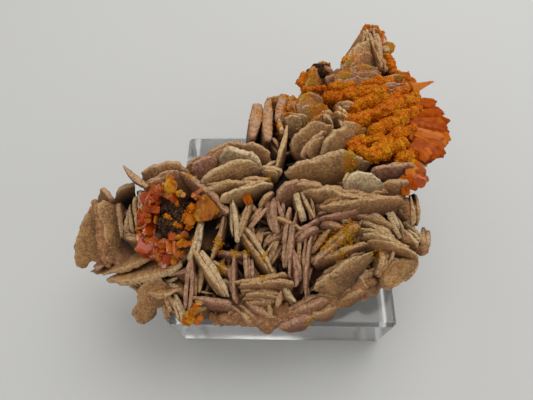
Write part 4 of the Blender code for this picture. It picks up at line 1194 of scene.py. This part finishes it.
def add_grains(heap, sites, smallest, largest, rng):
    for point, normal in zip(*sites):
        yellow = YELLOWER * float(point[1] < YELLOW_UP_TO)
        size = (smallest + (largest - smallest) * rng.beta(*SIZE_LEAN)) / 2
        stray = rng.normal(size=3) * GRAIN_STRAY
        point = point + stray - normal * stray.dot(normal)
        turn = np.linalg.qr(rng.normal(size=(3, 3)))[0]
        shape = (GRAIN_POINTS * rng.uniform(*SQUEEZE, (len(GRAIN_POINTS), 1))) @ turn
        points = point + normal * size * GRAIN_PROUD + shape * size
        tone = rng.uniform(0, 1) + yellow
        # grains take half the painted shade of the depths
        heap.add(points, GRAIN_FACES, tone=tone, deep=0.5 * painted_shade_at(points), rise=0.5)


def on_crust(points, normals):
    return (painted_shade_at(points) < CRUST_DEEPEST) * (normals[:, 2] > CRUST_TURNED) * 1.0


def on_blades(points, normals):
    powder = np.clip(ochre_at(points) - LEAST_POWDER, 0, 1)
    spotty = np.clip(noise_at(points, SPOT_PITCH, 5.0) + SPOT_SHARE, 0, 1)
    open_there = (normals[:, 2] > BLADE_TURNED) * (painted_shade_at(points) < BLADE_DEEPEST)
    return powder * spotty * open_there


def grains():
    rng = np.random.default_rng(8)
    heap = Heap()
    add_grains(heap, grain_sites(crust_piece, CRUST_GRAINS, on_crust, rng), *CRUST_SIZES, rng)
    for piece, count in zip(barite_pieces, BLADE_GRAINS):
        add_grains(heap, grain_sites(piece, count, on_blades, rng), *BLADE_SIZES, rng)
    return place(heap.mesh("mimetite_grains", smooth=False), mimetite, "mimetite", "mimetite_crust")


grains()

# %% [markdown]
# Wulfenite, a lead molybdate, grows as thin square tablets with cut corners and bevelled edges.
# The large ones are set one by one. A row gives x, y, height over the hill, length,
# width, thickness, bearing, tilt about the length, and a tone from deep red-orange (0) to pale
# amber (1).

# %% Wulfenite tablets
ring_tablets = [
    (-27.0, -4.8, 0.2, 2.8, 2.5, 0.8, 20, 55, 0.2),
    (-25.2, -3.8, 0.2, 2.3, 2.1, 0.7, -15, 48, 0.4),
    (-26.2, -5.6, 0.4, 1.8, 1.5, 0.5, 35, 70, 0.8),
    (-27.8, -5.6, -0.2, 2.0, 1.8, 0.6, 60, 60, 0.1),
    (-21.6, -3.8, 0.9, 2.8, 2.5, 0.7, 74, 52, 0.9),
    (-22.3, -4.7, 0.7, 2.8, 1.5, 0.6, -62, 50, 0.7),
    (-21.2, -5.2, 0.2, 2.5, 1.8, 0.8, 100, 62, 0.3),
    (-20.0, -4.8, 0.3, 1.5, 1.1, 0.6, 30, 40, 0.9),
    (-19.2, -5.2, 0.5, 1.1, 1.0, 0.5, 80, 30, 0.95),
    (-26.0, -6.9, 0.2, 3.6, 1.6, 0.6, -6, 38, 0.35),
    (-28.2, -7.0, 0.0, 2.1, 1.8, 0.7, 70, 58, 0.2),
    (-27.4, -8.4, 0.3, 2.5, 2.0, 0.8, 85, 60, 0.15),
    (-27.0, -9.0, 0.8, 1.8, 1.0, 0.5, 15, 60, 0.75),
    (-25.2, -8.6, -0.2, 1.8, 1.0, 0.4, 88, 70, 0.75),
    (-28.7, -10.2, 0.0, 2.1, 1.6, 0.6, 150, 50, 0.4),
    (-27.0, -10.3, 0.3, 2.5, 2.1, 0.8, 105, 52, 0.2),
    (-28.6, -11.6, 0.3, 2.1, 1.6, 0.7, 100, 60, 0.8),
    (-27.2, -11.9, 0.2, 2.1, 2.0, 0.7, 75, 66, 0.15),
    (-28.8, -13.0, 0.1, 2.3, 1.5, 0.7, 84, 58, 0.9),
    (-27.2, -13.2, 0.3, 2.3, 1.8, 0.7, 60, 60, 0.5),
    (-25.8, -12.4, 0.1, 2.1, 2.0, 0.6, 30, 45, 0.4),
    (-25.6, -14.0, 0.3, 2.1, 1.6, 0.7, 10, 56, 0.3),
    (-23.6, -13.0, 0.4, 2.3, 2.0, 0.6, 40, 50, 0.45),
    (-21.2, -11.6, 0.2, 2.6, 2.1, 0.5, 6, 30, 0.3),
    (-22.2, -13.6, 0.7, 3.0, 1.6, 0.5, 98, 46, 0.55),
    (-20.9, -13.8, 0.5, 3.4, 1.8, 0.6, 96, 66, 0.65),
    (-19.8, -12.8, 0.1, 1.6, 1.1, 0.6, 80, 50, 0.85),
    (-24.3, -14.9, 0.4, 2.3, 1.8, 0.7, 18, 50, 0.7),
    (-22.7, -15.3, 0.5, 2.1, 2.0, 0.8, 30, 46, 0.1),
    (-21.4, -15.6, 0.5, 2.5, 1.1, 0.5, 85, 40, 0.8),
    (-27.2, -9.4, -2.2, 11.0, 3.0, 2.0, 86, 10, 0.1),
    (-24.6, -13.8, -2.0, 8.6, 3.0, 1.8, -6, 10, 0.2),
]
amber_tablets = [
    (-14.8, -7.6, 0.6, 4.6, 4.2, 0.6, -42, 34, 1.0),
    (-13.8, -6.8, 0.3, 3.4, 4.4, 0.6, 12, 30, 0.92),
    (-15.4, -8.4, 0.2, 3.2, 2.6, 0.6, 28, 38, 0.86),
    (-16.3, -5.2, 1.1, 2.8, 0.6, 0.5, 42, 40, 0.6),
    (-15.7, -6.0, 1.2, 2.4, 0.5, 0.5, -38, 40, 0.6),
    (-17.6, -8.6, -0.2, 3.6, 2.2, 0.6, 70, 40, 0.75),
]
small_tablets = {
    "wulfenite_centre_tablet": [
        (-6.7, -5.6, 0.2, 3.4, 1.5, 0.9, -62, 50, 0.5),
        (-7.3, -4.6, 0.3, 1.4, 1.0, 0.6, 20, 50, 0.9),
        (-6.2, -6.9, 0.0, 1.2, 1.0, 0.6, 70, 50, 0.3),
    ],
    "wulfenite_front_cluster": [
        (-17.4, -24.0, 0.2, 2.4, 1.6, 0.8, 42, 25, 0.96),
        (-18.4, -25.8, 0.2, 2.0, 1.6, 0.8, 20, 35, 0.9),
        (-17.0, -25.8, 0.0, 2.2, 1.4, 0.9, 60, 35, 0.76),
        (-16.6, -22.8, 0.4, 1.6, 1.2, 0.7, 10, 50, 0.92),
        (-19.0, -24.8, 0.0, 1.6, 1.4, 0.8, 80, 50, 0.9),
    ],
    "wulfenite_tip_tablet": [
        (26.7, 44.4, -0.2, 4.4, 1.8, 0.8, 82, 40, 0.55),
        (27.7, 41.8, -0.3, 3.0, 2.8, 0.7, -20, 50, 0.9),
    ],
    "wulfenite_side_cluster": [
        (27.6, 0.4, -0.8, 2.4, 1.8, 0.7, -70, 40, 0.7),
        (27.2, -0.8, -0.6, 2.2, 1.8, 0.7, -40, 40, 0.5),
        (26.8, -2.6, -0.6, 2.4, 2.0, 0.7, -20, 50, 0.3),
        (27.9, -2.0, -1.0, 1.8, 1.4, 0.7, 30, 50, 0.7),
    ],
}
print(len(ring_tablets), "tablets in the ring have a row of their own")

# %% [markdown]
# A tablet is a box with its upright edges cut and all its edges bevelled, as real ones have. Each
# face is then split, and its points are moved a little, because a flawless plane would look cut
# by a machine. A bevel leaves its points in no fixed order, so they are sorted first, and the
# dice move the same points in every run.

# %% One tablet
CORNER_CUT, TABLET_BEVEL, TABLET_ROUGH = 0.24, 0.12, 0.05  # a share of the width, mm, mm


def sort_shape(shape):
    """Puts points and faces in an order that depends on their places alone."""
    shape.verts.index_update()
    points = np.array([vert.co[:] for vert in shape.verts])
    order = np.lexsort(points.round(4).T)
    rank = np.argsort(order).tolist()
    loops = [[rank[vert.index] for vert in face.verts] for face in shape.faces]
    firsts = [loop.index(min(loop)) for loop in loops]
    shape.clear()
    corners = [shape.verts.new(point) for point in points[order]]
    for loop in sorted(loop[first:] + loop[:first] for loop, first in zip(loops, firsts)):
        shape.faces.new([corners[index] for index in loop])


def tablet(row, rng):
    x, y, lift, length, width, thickness, bearing, tilt, _ = row
    shape = bmesh.new()
    bmesh.ops.create_cube(shape, size=1, matrix=Matrix.Diagonal((length, width, thickness, 1)))
    upright = [edge for edge in shape.edges if abs(edge.verts[0].co.z - edge.verts[1].co.z) > 0.1]
    cut = CORNER_CUT * min(length, width)
    bmesh.ops.bevel(shape, geom=upright, offset=cut, segments=1, affect="EDGES")
    bmesh.ops.bevel(shape, geom=shape.edges, offset=TABLET_BEVEL, segments=1, affect="EDGES")
    sort_shape(shape)
    bmesh.ops.triangulate(shape, faces=shape.faces)
    bmesh.ops.subdivide_edges(shape, edges=shape.edges, cuts=1)
    place_at = Matrix.Translation((x, y, float(hill(x, y)) + lift))
    turn = Matrix.Rotation(math.radians(bearing), 4, "Z")
    lean = Matrix.Rotation(math.radians(tilt), 4, "X")
    shape.transform(place_at @ turn @ lean)
    points = np.array([vert.co[:] for vert in shape.verts])
    points += TABLET_ROUGH * rng.normal(size=points.shape)
    shape.verts.index_update()
    faces = [[vert.index for vert in face.verts] for face in shape.faces]
    shape.free()
    return points, faces


print(len(tablet(ring_tablets[0], np.random.default_rng(0))[1]), "faces in a tablet")

# %% [markdown]
# Wulfenite is glassy and lets light through, so much of its colour comes from light that has
# passed through it. Full transmission would make it look like dyed glass, so most of the light still
# scatters in its body, with paler veils and browner roots. The thin petals at the right have
# duller faces. They are a second kind of the same glass, which shines less and looks deeper.

# %% Wulfenite as a glass
TABLET_COLOURS = [
    (0.0, "#B83600"), (0.25, "#C84E00"), (0.5, "#D06602"), (0.64, "#D67432"), (0.76, "#D47606"),
    (0.9, "#DC980A"), (1.0, "#C46E02"),
]
PETAL_COLOURS = [
    (0.0, "#983800"), (0.25, "#A84400"), (0.5, "#B65600"), (0.64, "#CE7232"), (0.8, "#C48606"),
]


def wulfenite_glass(name, colours, clear, glint):
    made, tree, shader = finish(name, {
        "Roughness": 0.16, "IOR": 1.6, "Specular IOR Level": glint, "Transmission Weight": clear,
    })
    where = add(tree, "TexCoord", out=3)
    tone = add(tree, "Attribute", out=2, attribute_name="tone")
    cloud = add(tree, "TexNoise", {"Vector": where, "Scale": per_mm(1.4), "Detail": 3.0})
    body = coated(tree, add(tree, "ValToRGB", {0: tone}, stops=colours), [
        (cloud, [(0.5, 0.0), (0.72, 0.45)], 1.0, "#D67610"),  # paler veils
        (cloud, [(0.3, 0.7), (0.46, 0.0)], 1.0, "#7A2E04"),  # browner roots
    ])
    tree.links.new(body, shader.inputs["Base Color"])
    return made


wulfenite = wulfenite_glass("wulfenite_translucent", TABLET_COLOURS, 0.35, 0.12)
petal_wulfenite = wulfenite_glass("wulfenite_thin_petals", PETAL_COLOURS, 0.1, 0.01)


def wulfenite_piece(name, rows, *nodes):
    rng = np.random.default_rng(len(name))
    heap = Heap()
    for row in rows:
        points, faces = tablet(row, rng)
        heap.add(points, faces, tone=row[8])
    return place(heap.mesh(name, smooth=False), wulfenite, "wulfenite", *nodes)


wulfenite_piece("wulfenite_amber_tablets", amber_tablets, "wulfenite_amber_plate")
for node_name, rows in small_tablets.items():
    wulfenite_piece(node_name + "_detail", rows, node_name)

# %% [markdown]
# The ring has far more crystals than those with a row of their own. A line is laid along it, as
# x, y and tone, and a seeded throw of the dice scatters small tablets along that line.

# %% The ring of tablets
ring_line = [
    (-21.6, -3.2, 0.9), (-23.2, -4.1, 0.5), (-25.0, -4.4, 0.15), (-26.6, -5.2, 0.1),
    (-27.4, -6.8, 0.2), (-27.8, -8.4, 0.1), (-28.2, -9.8, 0.25), (-28.6, -11.2, 0.8),
    (-28.4, -12.8, 0.6), (-26.8, -13.2, 0.3), (-25.2, -14.0, 0.4), (-24.0, -15.0, 0.6),
    (-22.4, -15.2, 0.1), (-20.8, -14.4, 0.75), (-20.2, -12.6, 0.7),
]
SMALL_TABLETS, RING_STRAY, RING_LIFT = 130, 0.7, (-0.6, 1.0)  # count, mm, mm over the hill
SMALL_LENGTH, SMALL_WIDTH, SMALL_THICKNESS = (0.9, 2.1), (0.5, 0.95), (0.3, 0.6)  # mm, share, mm
SMALL_TILT, SMALL_TONE = (15, 75), 0.16  # degrees; how far a tone strays from its place's


def ring_scatter(rng):
    line = np.array(ring_line)
    rows = []
    for _ in range(SMALL_TABLETS):
        at = rng.uniform(0, len(line) - 1.001)
        x, y, tone = line[int(at)] + (line[int(at) + 1] - line[int(at)]) * (at % 1)
        length = rng.uniform(*SMALL_LENGTH)
        rows.append(
            (x + rng.normal() * RING_STRAY, y + rng.normal() * RING_STRAY,
             rng.uniform(*RING_LIFT), length, length * rng.uniform(*SMALL_WIDTH),
             rng.uniform(*SMALL_THICKNESS), rng.uniform(0, 360), rng.uniform(*SMALL_TILT),
             float(np.clip(tone + rng.normal() * SMALL_TONE, 0, 1)))
        )
    return rows


ring_rows = ring_tablets + ring_scatter(np.random.default_rng(12))
wulfenite_piece("wulfenite_ring_tablets", ring_rows, "wulfenite_ring")

# %% [markdown]
# At the right end the crystals have grown into a fan of thin petals that overlap like scales,
# with torn outer edges and fine folds from root to edge. Plates would be too blunt, so a petal
# is a sheet: a grid of points that widens from its root, and is torn where it ends. A second
# grid under the first and a wall round both make it a closed solid. A row gives root, edge,
# width, the share of the width at the root, a roll in degrees and a tone. The same sheet,
# narrowed to a point, makes the thorn above the fan.

# %% One petal
PETAL_ROWS, PETAL_COLUMNS = 15, 15
PETAL_THICKNESS, TORN, FOLD = 0.35, 0.14, 0.10  # mm, a share of the length, mm
PETAL_CUP, PETAL_ROUND, PETAL_THINS = 0.12, 0.25, 0.6  # shares of the width, length, thickness
TEARS, FOLDS = 3.1, 4  # how many across the petal, about


def petal(row, dice):
    start = np.array((row[0], row[1], hill(row[0], row[1]) + row[2]))
    end = np.array((row[3], row[4], hill(row[3], row[4]) + row[5]))
    width, root, turn = row[6], row[7], math.radians(row[8])
    length, along = np.linalg.norm(end - start), unit(end - start)
    flat = unit(np.cross(along, UP))
    up = np.cross(flat, along)
    side = flat * math.cos(turn) - up * math.sin(turn)
    out = np.cross(side, along)
    ahead, aside = np.meshgrid(
        np.linspace(0, 1, PETAL_ROWS), np.linspace(-1, 1, PETAL_COLUMNS), indexing="ij"
    )
    phase = dice.uniform(0, 100)
    none = 0 * aside
    edge = noise_at(np.stack([TEARS * aside, none, none], -1).reshape(-1, 3), 1, phase)
    folds = noise_at(np.stack([FOLDS * aside, ahead, none], -1).reshape(-1, 3), 1, phase + 9)
    edge, folds = edge.reshape(aside.shape), folds.reshape(aside.shape)
    reach = 1 - PETAL_ROUND * aside**2 * min(1, root + 0.4) + TORN * edge
    spread = width / 2 * (root + (1 - root) * ahead**0.7)
    lift = FOLD * folds + PETAL_CUP * width * ahead * (0.5 - aside**2)
    thick = PETAL_THICKNESS / 2 * (1 - PETAL_THINS * ahead) * (1.1 - aside**4)
    middle = (
        start + along * (ahead * reach * length)[..., None] + side * (aside * spread)[..., None]
    )
    upper, lower = middle + out * (lift + thick)[..., None], middle + out * (lift - thick)[..., None]
    points = np.vstack([upper.reshape(-1, 3), lower.reshape(-1, 3)])
    number = np.arange(PETAL_ROWS * PETAL_COLUMNS).reshape(PETAL_ROWS, PETAL_COLUMNS)
    cells = np.stack([number[:-1, :-1], number[1:, :-1], number[1:, 1:], number[:-1, 1:]], -1)
    cells = cells.reshape(-1, 4)
    rim = [*number[0, :-1], *number[:-1, -1], *number[-1, :0:-1], *number[:0:-1, 0]]
    walls = [
        [rim[index - 1], rim[index], rim[index] + number.size, rim[index - 1] + number.size]
        for index in range(len(rim))
    ]
    faces = cells.tolist() + (cells[:, ::-1] + number.size).tolist()
    return points, faces + [[int(corner) for corner in wall] for wall in walls]


# %% [markdown]
# The petals of the fan, those of the small cluster below it, and the thorn are listed one by one.
# Beside each petal dice add a narrow shard that starts further out, so that the edges look
# splintered.

# %% The fan of petals
fan_petals = [  # root x, y, lift; edge x, y, lift; width; share at the root; roll; tone
    (26.8, 18.4, -0.2, 35.6, 21.6, -0.2, 3.4, 0.8, 20, 0.3),
    (27.6, 17.2, -0.8, 36.8, 19.0, -0.8, 4.4, 0.6, 25, 0.16),
    (27.0, 15.4, -0.4, 37.0, 16.6, -0.5, 4.8, 0.6, 25, 0.26),
    (28.6, 13.6, -0.6, 36.8, 13.4, -0.7, 5.0, 0.5, 25, 0.2),
    (27.4, 12.6, -0.3, 35.4, 11.4, -0.6, 4.6, 0.5, 25, 0.1),
    (33.0, 11.0, -0.6, 36.4, 10.4, -0.7, 3.4, 0.6, 10, 0.5),
    (27.4, 10.2, 0.0, 34.6, 7.8, -0.4, 4.4, 0.6, 30, 0.62),
    (28.6, 9.0, -0.8, 34.0, 5.8, -0.9, 4.2, 0.6, 25, 0.2),
    (27.4, 8.0, -0.5, 32.2, 4.2, -0.7, 3.8, 0.6, 20, 0.24),
    (26.8, 7.2, -0.4, 29.8, 3.0, -0.8, 3.0, 0.7, 10, 0.3),
    (28.8, 14.6, -2.0, 35.4, 14.8, -2.4, 8.0, 0.7, 10, 0.05),
    (28.4, 9.2, -2.2, 33.4, 7.2, -2.8, 7.0, 0.7, 10, 0.1),
]
side_petals = [
    (26.0, 3.0, -0.4, 28.2, 0.4, -0.8, 2.4, 0.6, -10, 0.5),
    (25.6, 1.6, -0.5, 28.0, -0.6, -0.9, 2.2, 0.6, -10, 0.8),
    (24.6, -0.4, -0.3, 27.4, -2.4, -0.7, 2.8, 0.6, 10, 0.6),
    (24.2, -1.6, -0.3, 26.4, -3.6, -0.7, 2.2, 0.6, 20, 0.3),
    (23.6, -2.8, -0.4, 24.6, -4.8, -0.8, 2.0, 0.6, 0, 0.5),
]
thorn = [(30.4, 24.6, 0.6, 36.8, 29.0, 0.6, 0.9, 3.4, 35, 0.66)]
PETAL_SHARDS = 1
SHARD_FROM, SHARD_ASIDE, SHARD_SPREAD = (0.0, 0.6), 0.8, 1.3  # share of the length, mm, factor
SHARD_SHORT, SHARD_LIFT, SHARD_WIDTH = (0.2, 2.5), (-0.3, 0.4), (0.8, 1.8)  # mm
SHARD_ROOT, SHARD_ROLL, SHARD_TONE = (0.3, 0.9), 20, 0.12  # share of the width, degrees, tone


def petal_piece(name, rows, seed, shards, node):
    dice = random.Random(seed)
    heap = Heap()
    for row in rows:
        heap.add(*petal(row, dice), tone=row[9])
        for _ in range(shards):
            share, aside = dice.uniform(*SHARD_FROM), dice.gauss(0, SHARD_ASIDE)
            x, y = row[0] + (row[3] - row[0]) * share, row[1] + (row[4] - row[1]) * share
            shard = (
                x, y + aside, row[2] + 0.2,
                row[3] - dice.uniform(*SHARD_SHORT), row[4] + aside * SHARD_SPREAD,
                row[5] + dice.uniform(*SHARD_LIFT), dice.uniform(*SHARD_WIDTH),
                dice.uniform(*SHARD_ROOT), row[8] + dice.gauss(0, SHARD_ROLL),
            )
            shape = petal(shard, dice)
            heap.add(*shape, tone=float(np.clip(row[9] + dice.gauss(0, SHARD_TONE), 0, 1)))
    return place(heap.mesh(name), petal_wulfenite, "wulfenite", node)


petal_piece("wulfenite_right_fan_petals", fan_petals, 21, PETAL_SHARDS, "wulfenite_right_fan")
petal_piece("wulfenite_side_petals", side_petals, 22, PETAL_SHARDS, "wulfenite_side_cluster")
petal_piece("wulfenite_spike_detail", thorn, 23, 0, "wulfenite_spike")

# %% [markdown]
# The dark ore inside the ring is a crumbly lump with thin ledges, and a second lump sits behind.
# Lumps and ledges are fused into one skin, as for the crust, and roughened crystal by crystal.
# It is dull and nearly black, and browner where a crystal catches the light.

# %% Dark ore
def dull_ore():
    made, tree, shader = finish("dark_ore_dull", {"Roughness": 0.8, "Specular IOR Level": 0.1})
    where = add(tree, "TexCoord", out=3)
    grit = add(tree, "TexNoise", {"Vector": where, "Scale": per_mm(0.7), "Detail": 4.0})
    rise = add(tree, "Attribute", out=2, attribute_name="rise")
    speck = add(tree, "Math", {0: grit, 1: rise}, operation="MULTIPLY")
    body = add(
        tree, "ValToRGB", {0: speck}, stops=[(0.04, "#20120B"), (0.16, "#432C1E"), (0.4, "#80664E")]
    )
    tree.links.new(body, shader.inputs["Base Color"])
    bump = add(tree, "Bump", {"Strength": 0.6, "Distance": 0.15 * MM, "Height": grit})
    tree.links.new(bump, shader.inputs["Normal"])
    return made


ore = dull_ore()
ORE_SKIN = 0.24  # mm between the points of its skin
ORE_SWELL, ORE_PITCH, ORE_RISE = ((1.0, 0.3), (0.5, 0.2)), 0.45, 0.12  # mm
ORE_ROUGH, ORE_LUMPS = 0.3, 1.4  # a share of the size, mm
core_ledges = [
    (-23.8, -6.6, -19.4, -5.6, 0.8, 3, -0.2, 50, 0.3),
    (-24.0, -8.6, -19.0, -7.4, 0.8, 3, 0.0, 50, 0.3),
    (-23.4, -10.4, -19.4, -9.2, 0.8, 3, -0.3, 50, 0.3),
    (-24.6, -11.4, -21.6, -10.8, 1.0, 3, -1.0, 40, 0.3),
]


def ore_piece(name, lumps, ledges, seed):
    dice = random.Random(seed)
    heap = Heap()
    for centre, sizes in lumps:
        heap.add(*lump(centre, sizes, ORE_ROUGH, ORE_LUMPS, 4))
    for row in ledges:
        for points, faces, _ in blade(row, SPACING, dice):
            heap.add(points, faces)
    points, faces, rise, _ = crystal_skin(heap, ORE_SKIN, ORE_SWELL, ORE_PITCH, ORE_RISE)
    crumbly = Heap()
    crumbly.add(points, faces, rise=rise)
    return place(crumbly.mesh(name, smooth=False), ore, "dark_ore", name.replace("_detail", ""))


ore_piece(
    "dark_ore_core_detail",
    [((-21.6, -8.4, 35.4), (3.4, 3.6, 2.6)), ((-19.4, -6.2, 37.0), (2.2, 1.6, 1.6))],
    core_ledges, 10,
)
ore_piece(
    "dark_ore_lump_detail",
    [((9.8, 32.4, 36.0), (2.4, 2.0, 2.0)), ((7.6, 31.2, 35.8), (1.8, 1.8, 1.6))], [], 11,
)

# %% [markdown]
# The block is cast acrylic, sawn, chamfered and flame polished. It is clear, with an index of
# 1.49, a little less than glass. Handling has left a slight haze, so a little roughness blurs
# what shows through it.

# %% Acrylic
acrylic, _, _ = finish("acrylic_cast_clear", {
    "Base Color": linear("#FCFDFD"), "Roughness": 0.12, "IOR": 1.49, "Transmission Weight": 1.0,
})
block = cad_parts["acrylic_block"]
block.data.materials.clear()
block.data.materials.append(acrylic)
print("the block is", acrylic.name)

# %% [markdown]
# ## Floor, light and camera
# The stone stands on plain pale paper. A floor that reaches past the picture's edge needs no
# horizon. It lies a hair below the block, so that two faces never share one place.

# %% Floor
FLOOR_HALF, FLOOR_DROP = 1.5, 0.05 * MM  # metres
paper, _, _ = finish("floor_pale_paper", {"Base Color": linear("#C9C8C6"), "Roughness": 0.9})
mesh = bpy.data.meshes.new("floor")
shape = bmesh.new()
bmesh.ops.create_grid(shape, x_segments=1, y_segments=1, size=FLOOR_HALF)
shape.to_mesh(mesh)
shape.free()
mesh.materials.append(paper)
floor = bpy.data.objects.new("floor", mesh)
floor.location.z = -FLOOR_DROP
bpy.context.scene.collection.objects.link(floor)
print("the floor is", 2 * FLOOR_HALF, "m wide")

# %% [markdown]
# One large soft light above and behind, and an even pale sky, make the soft shadows of a light
# tent. A sun would give hard shadows, and a lamp from the front would flatten the blades.

# %% Lights
LAMP_AT, LAMP_AIM = Vector((0.12, 0.20, 0.46)), Vector((0, 0.01, 0.02))  # metres
LAMP_SIZE, LAMP_POWER, SKY_STRENGTH = 0.45, 1.35, 0.71  # metres, watts, no unit

lamp = bpy.data.lights.new("key", "AREA")
lamp.shape = "DISK"
lamp.size = LAMP_SIZE
lamp.energy = LAMP_POWER
key = bpy.data.objects.new("key", lamp)
key.location = LAMP_AT
key.rotation_euler = (LAMP_AIM - LAMP_AT).to_track_quat("-Z", "Y").to_euler()
bpy.context.scene.collection.objects.link(key)
world = bpy.data.worlds.new("light tent")
world.use_nodes = True
sky = world.node_tree.nodes["Background"]
sky.inputs["Color"].default_value = linear("#EDEEEC")
sky.inputs["Strength"].default_value = SKY_STRENGTH
bpy.context.scene.world = world
bpy.context.scene.view_settings.view_transform = "Standard"
print("lamp of", LAMP_POWER, "W, sky at", SKY_STRENGTH)

# %% [markdown]
# The camera is a phone's wide lens, held close, so near blades look larger than far ones. It
# looks down at about 62 degrees and is turned and rolled by a few degrees, as a hand would.

# %% Camera
CAMERA_AT = Vector((-0.1, -44.4, 112.5)) * MM
PITCH, YAW, ROLL = math.radians(61.83), math.radians(-4.03), math.radians(-3.32)
LENS, FRAME_WIDTH, CLIP_START = 28.22, 36, 0.005  # mm, mm, metres

forward = Vector(
    (math.sin(YAW) * math.cos(PITCH), math.cos(YAW) * math.cos(PITCH), -math.sin(PITCH))
)
right = Vector((math.cos(YAW), -math.sin(YAW), 0))
above = right.cross(forward)
right, above = (
    right * math.cos(ROLL) + above * math.sin(ROLL),
    above * math.cos(ROLL) - right * math.sin(ROLL),
)
lens = bpy.data.cameras.new("camera")
lens.lens = LENS
lens.sensor_width = FRAME_WIDTH
lens.clip_start = CLIP_START
camera = bpy.data.objects.new("camera", lens)
turned = Matrix((right, above, -forward)).transposed().to_4x4()
camera.matrix_world = Matrix.Translation(CAMERA_AT) @ turned
bpy.context.scene.collection.objects.link(camera)
bpy.context.scene.camera = camera
print("camera at", [round(part, 4) for part in CAMERA_AT])
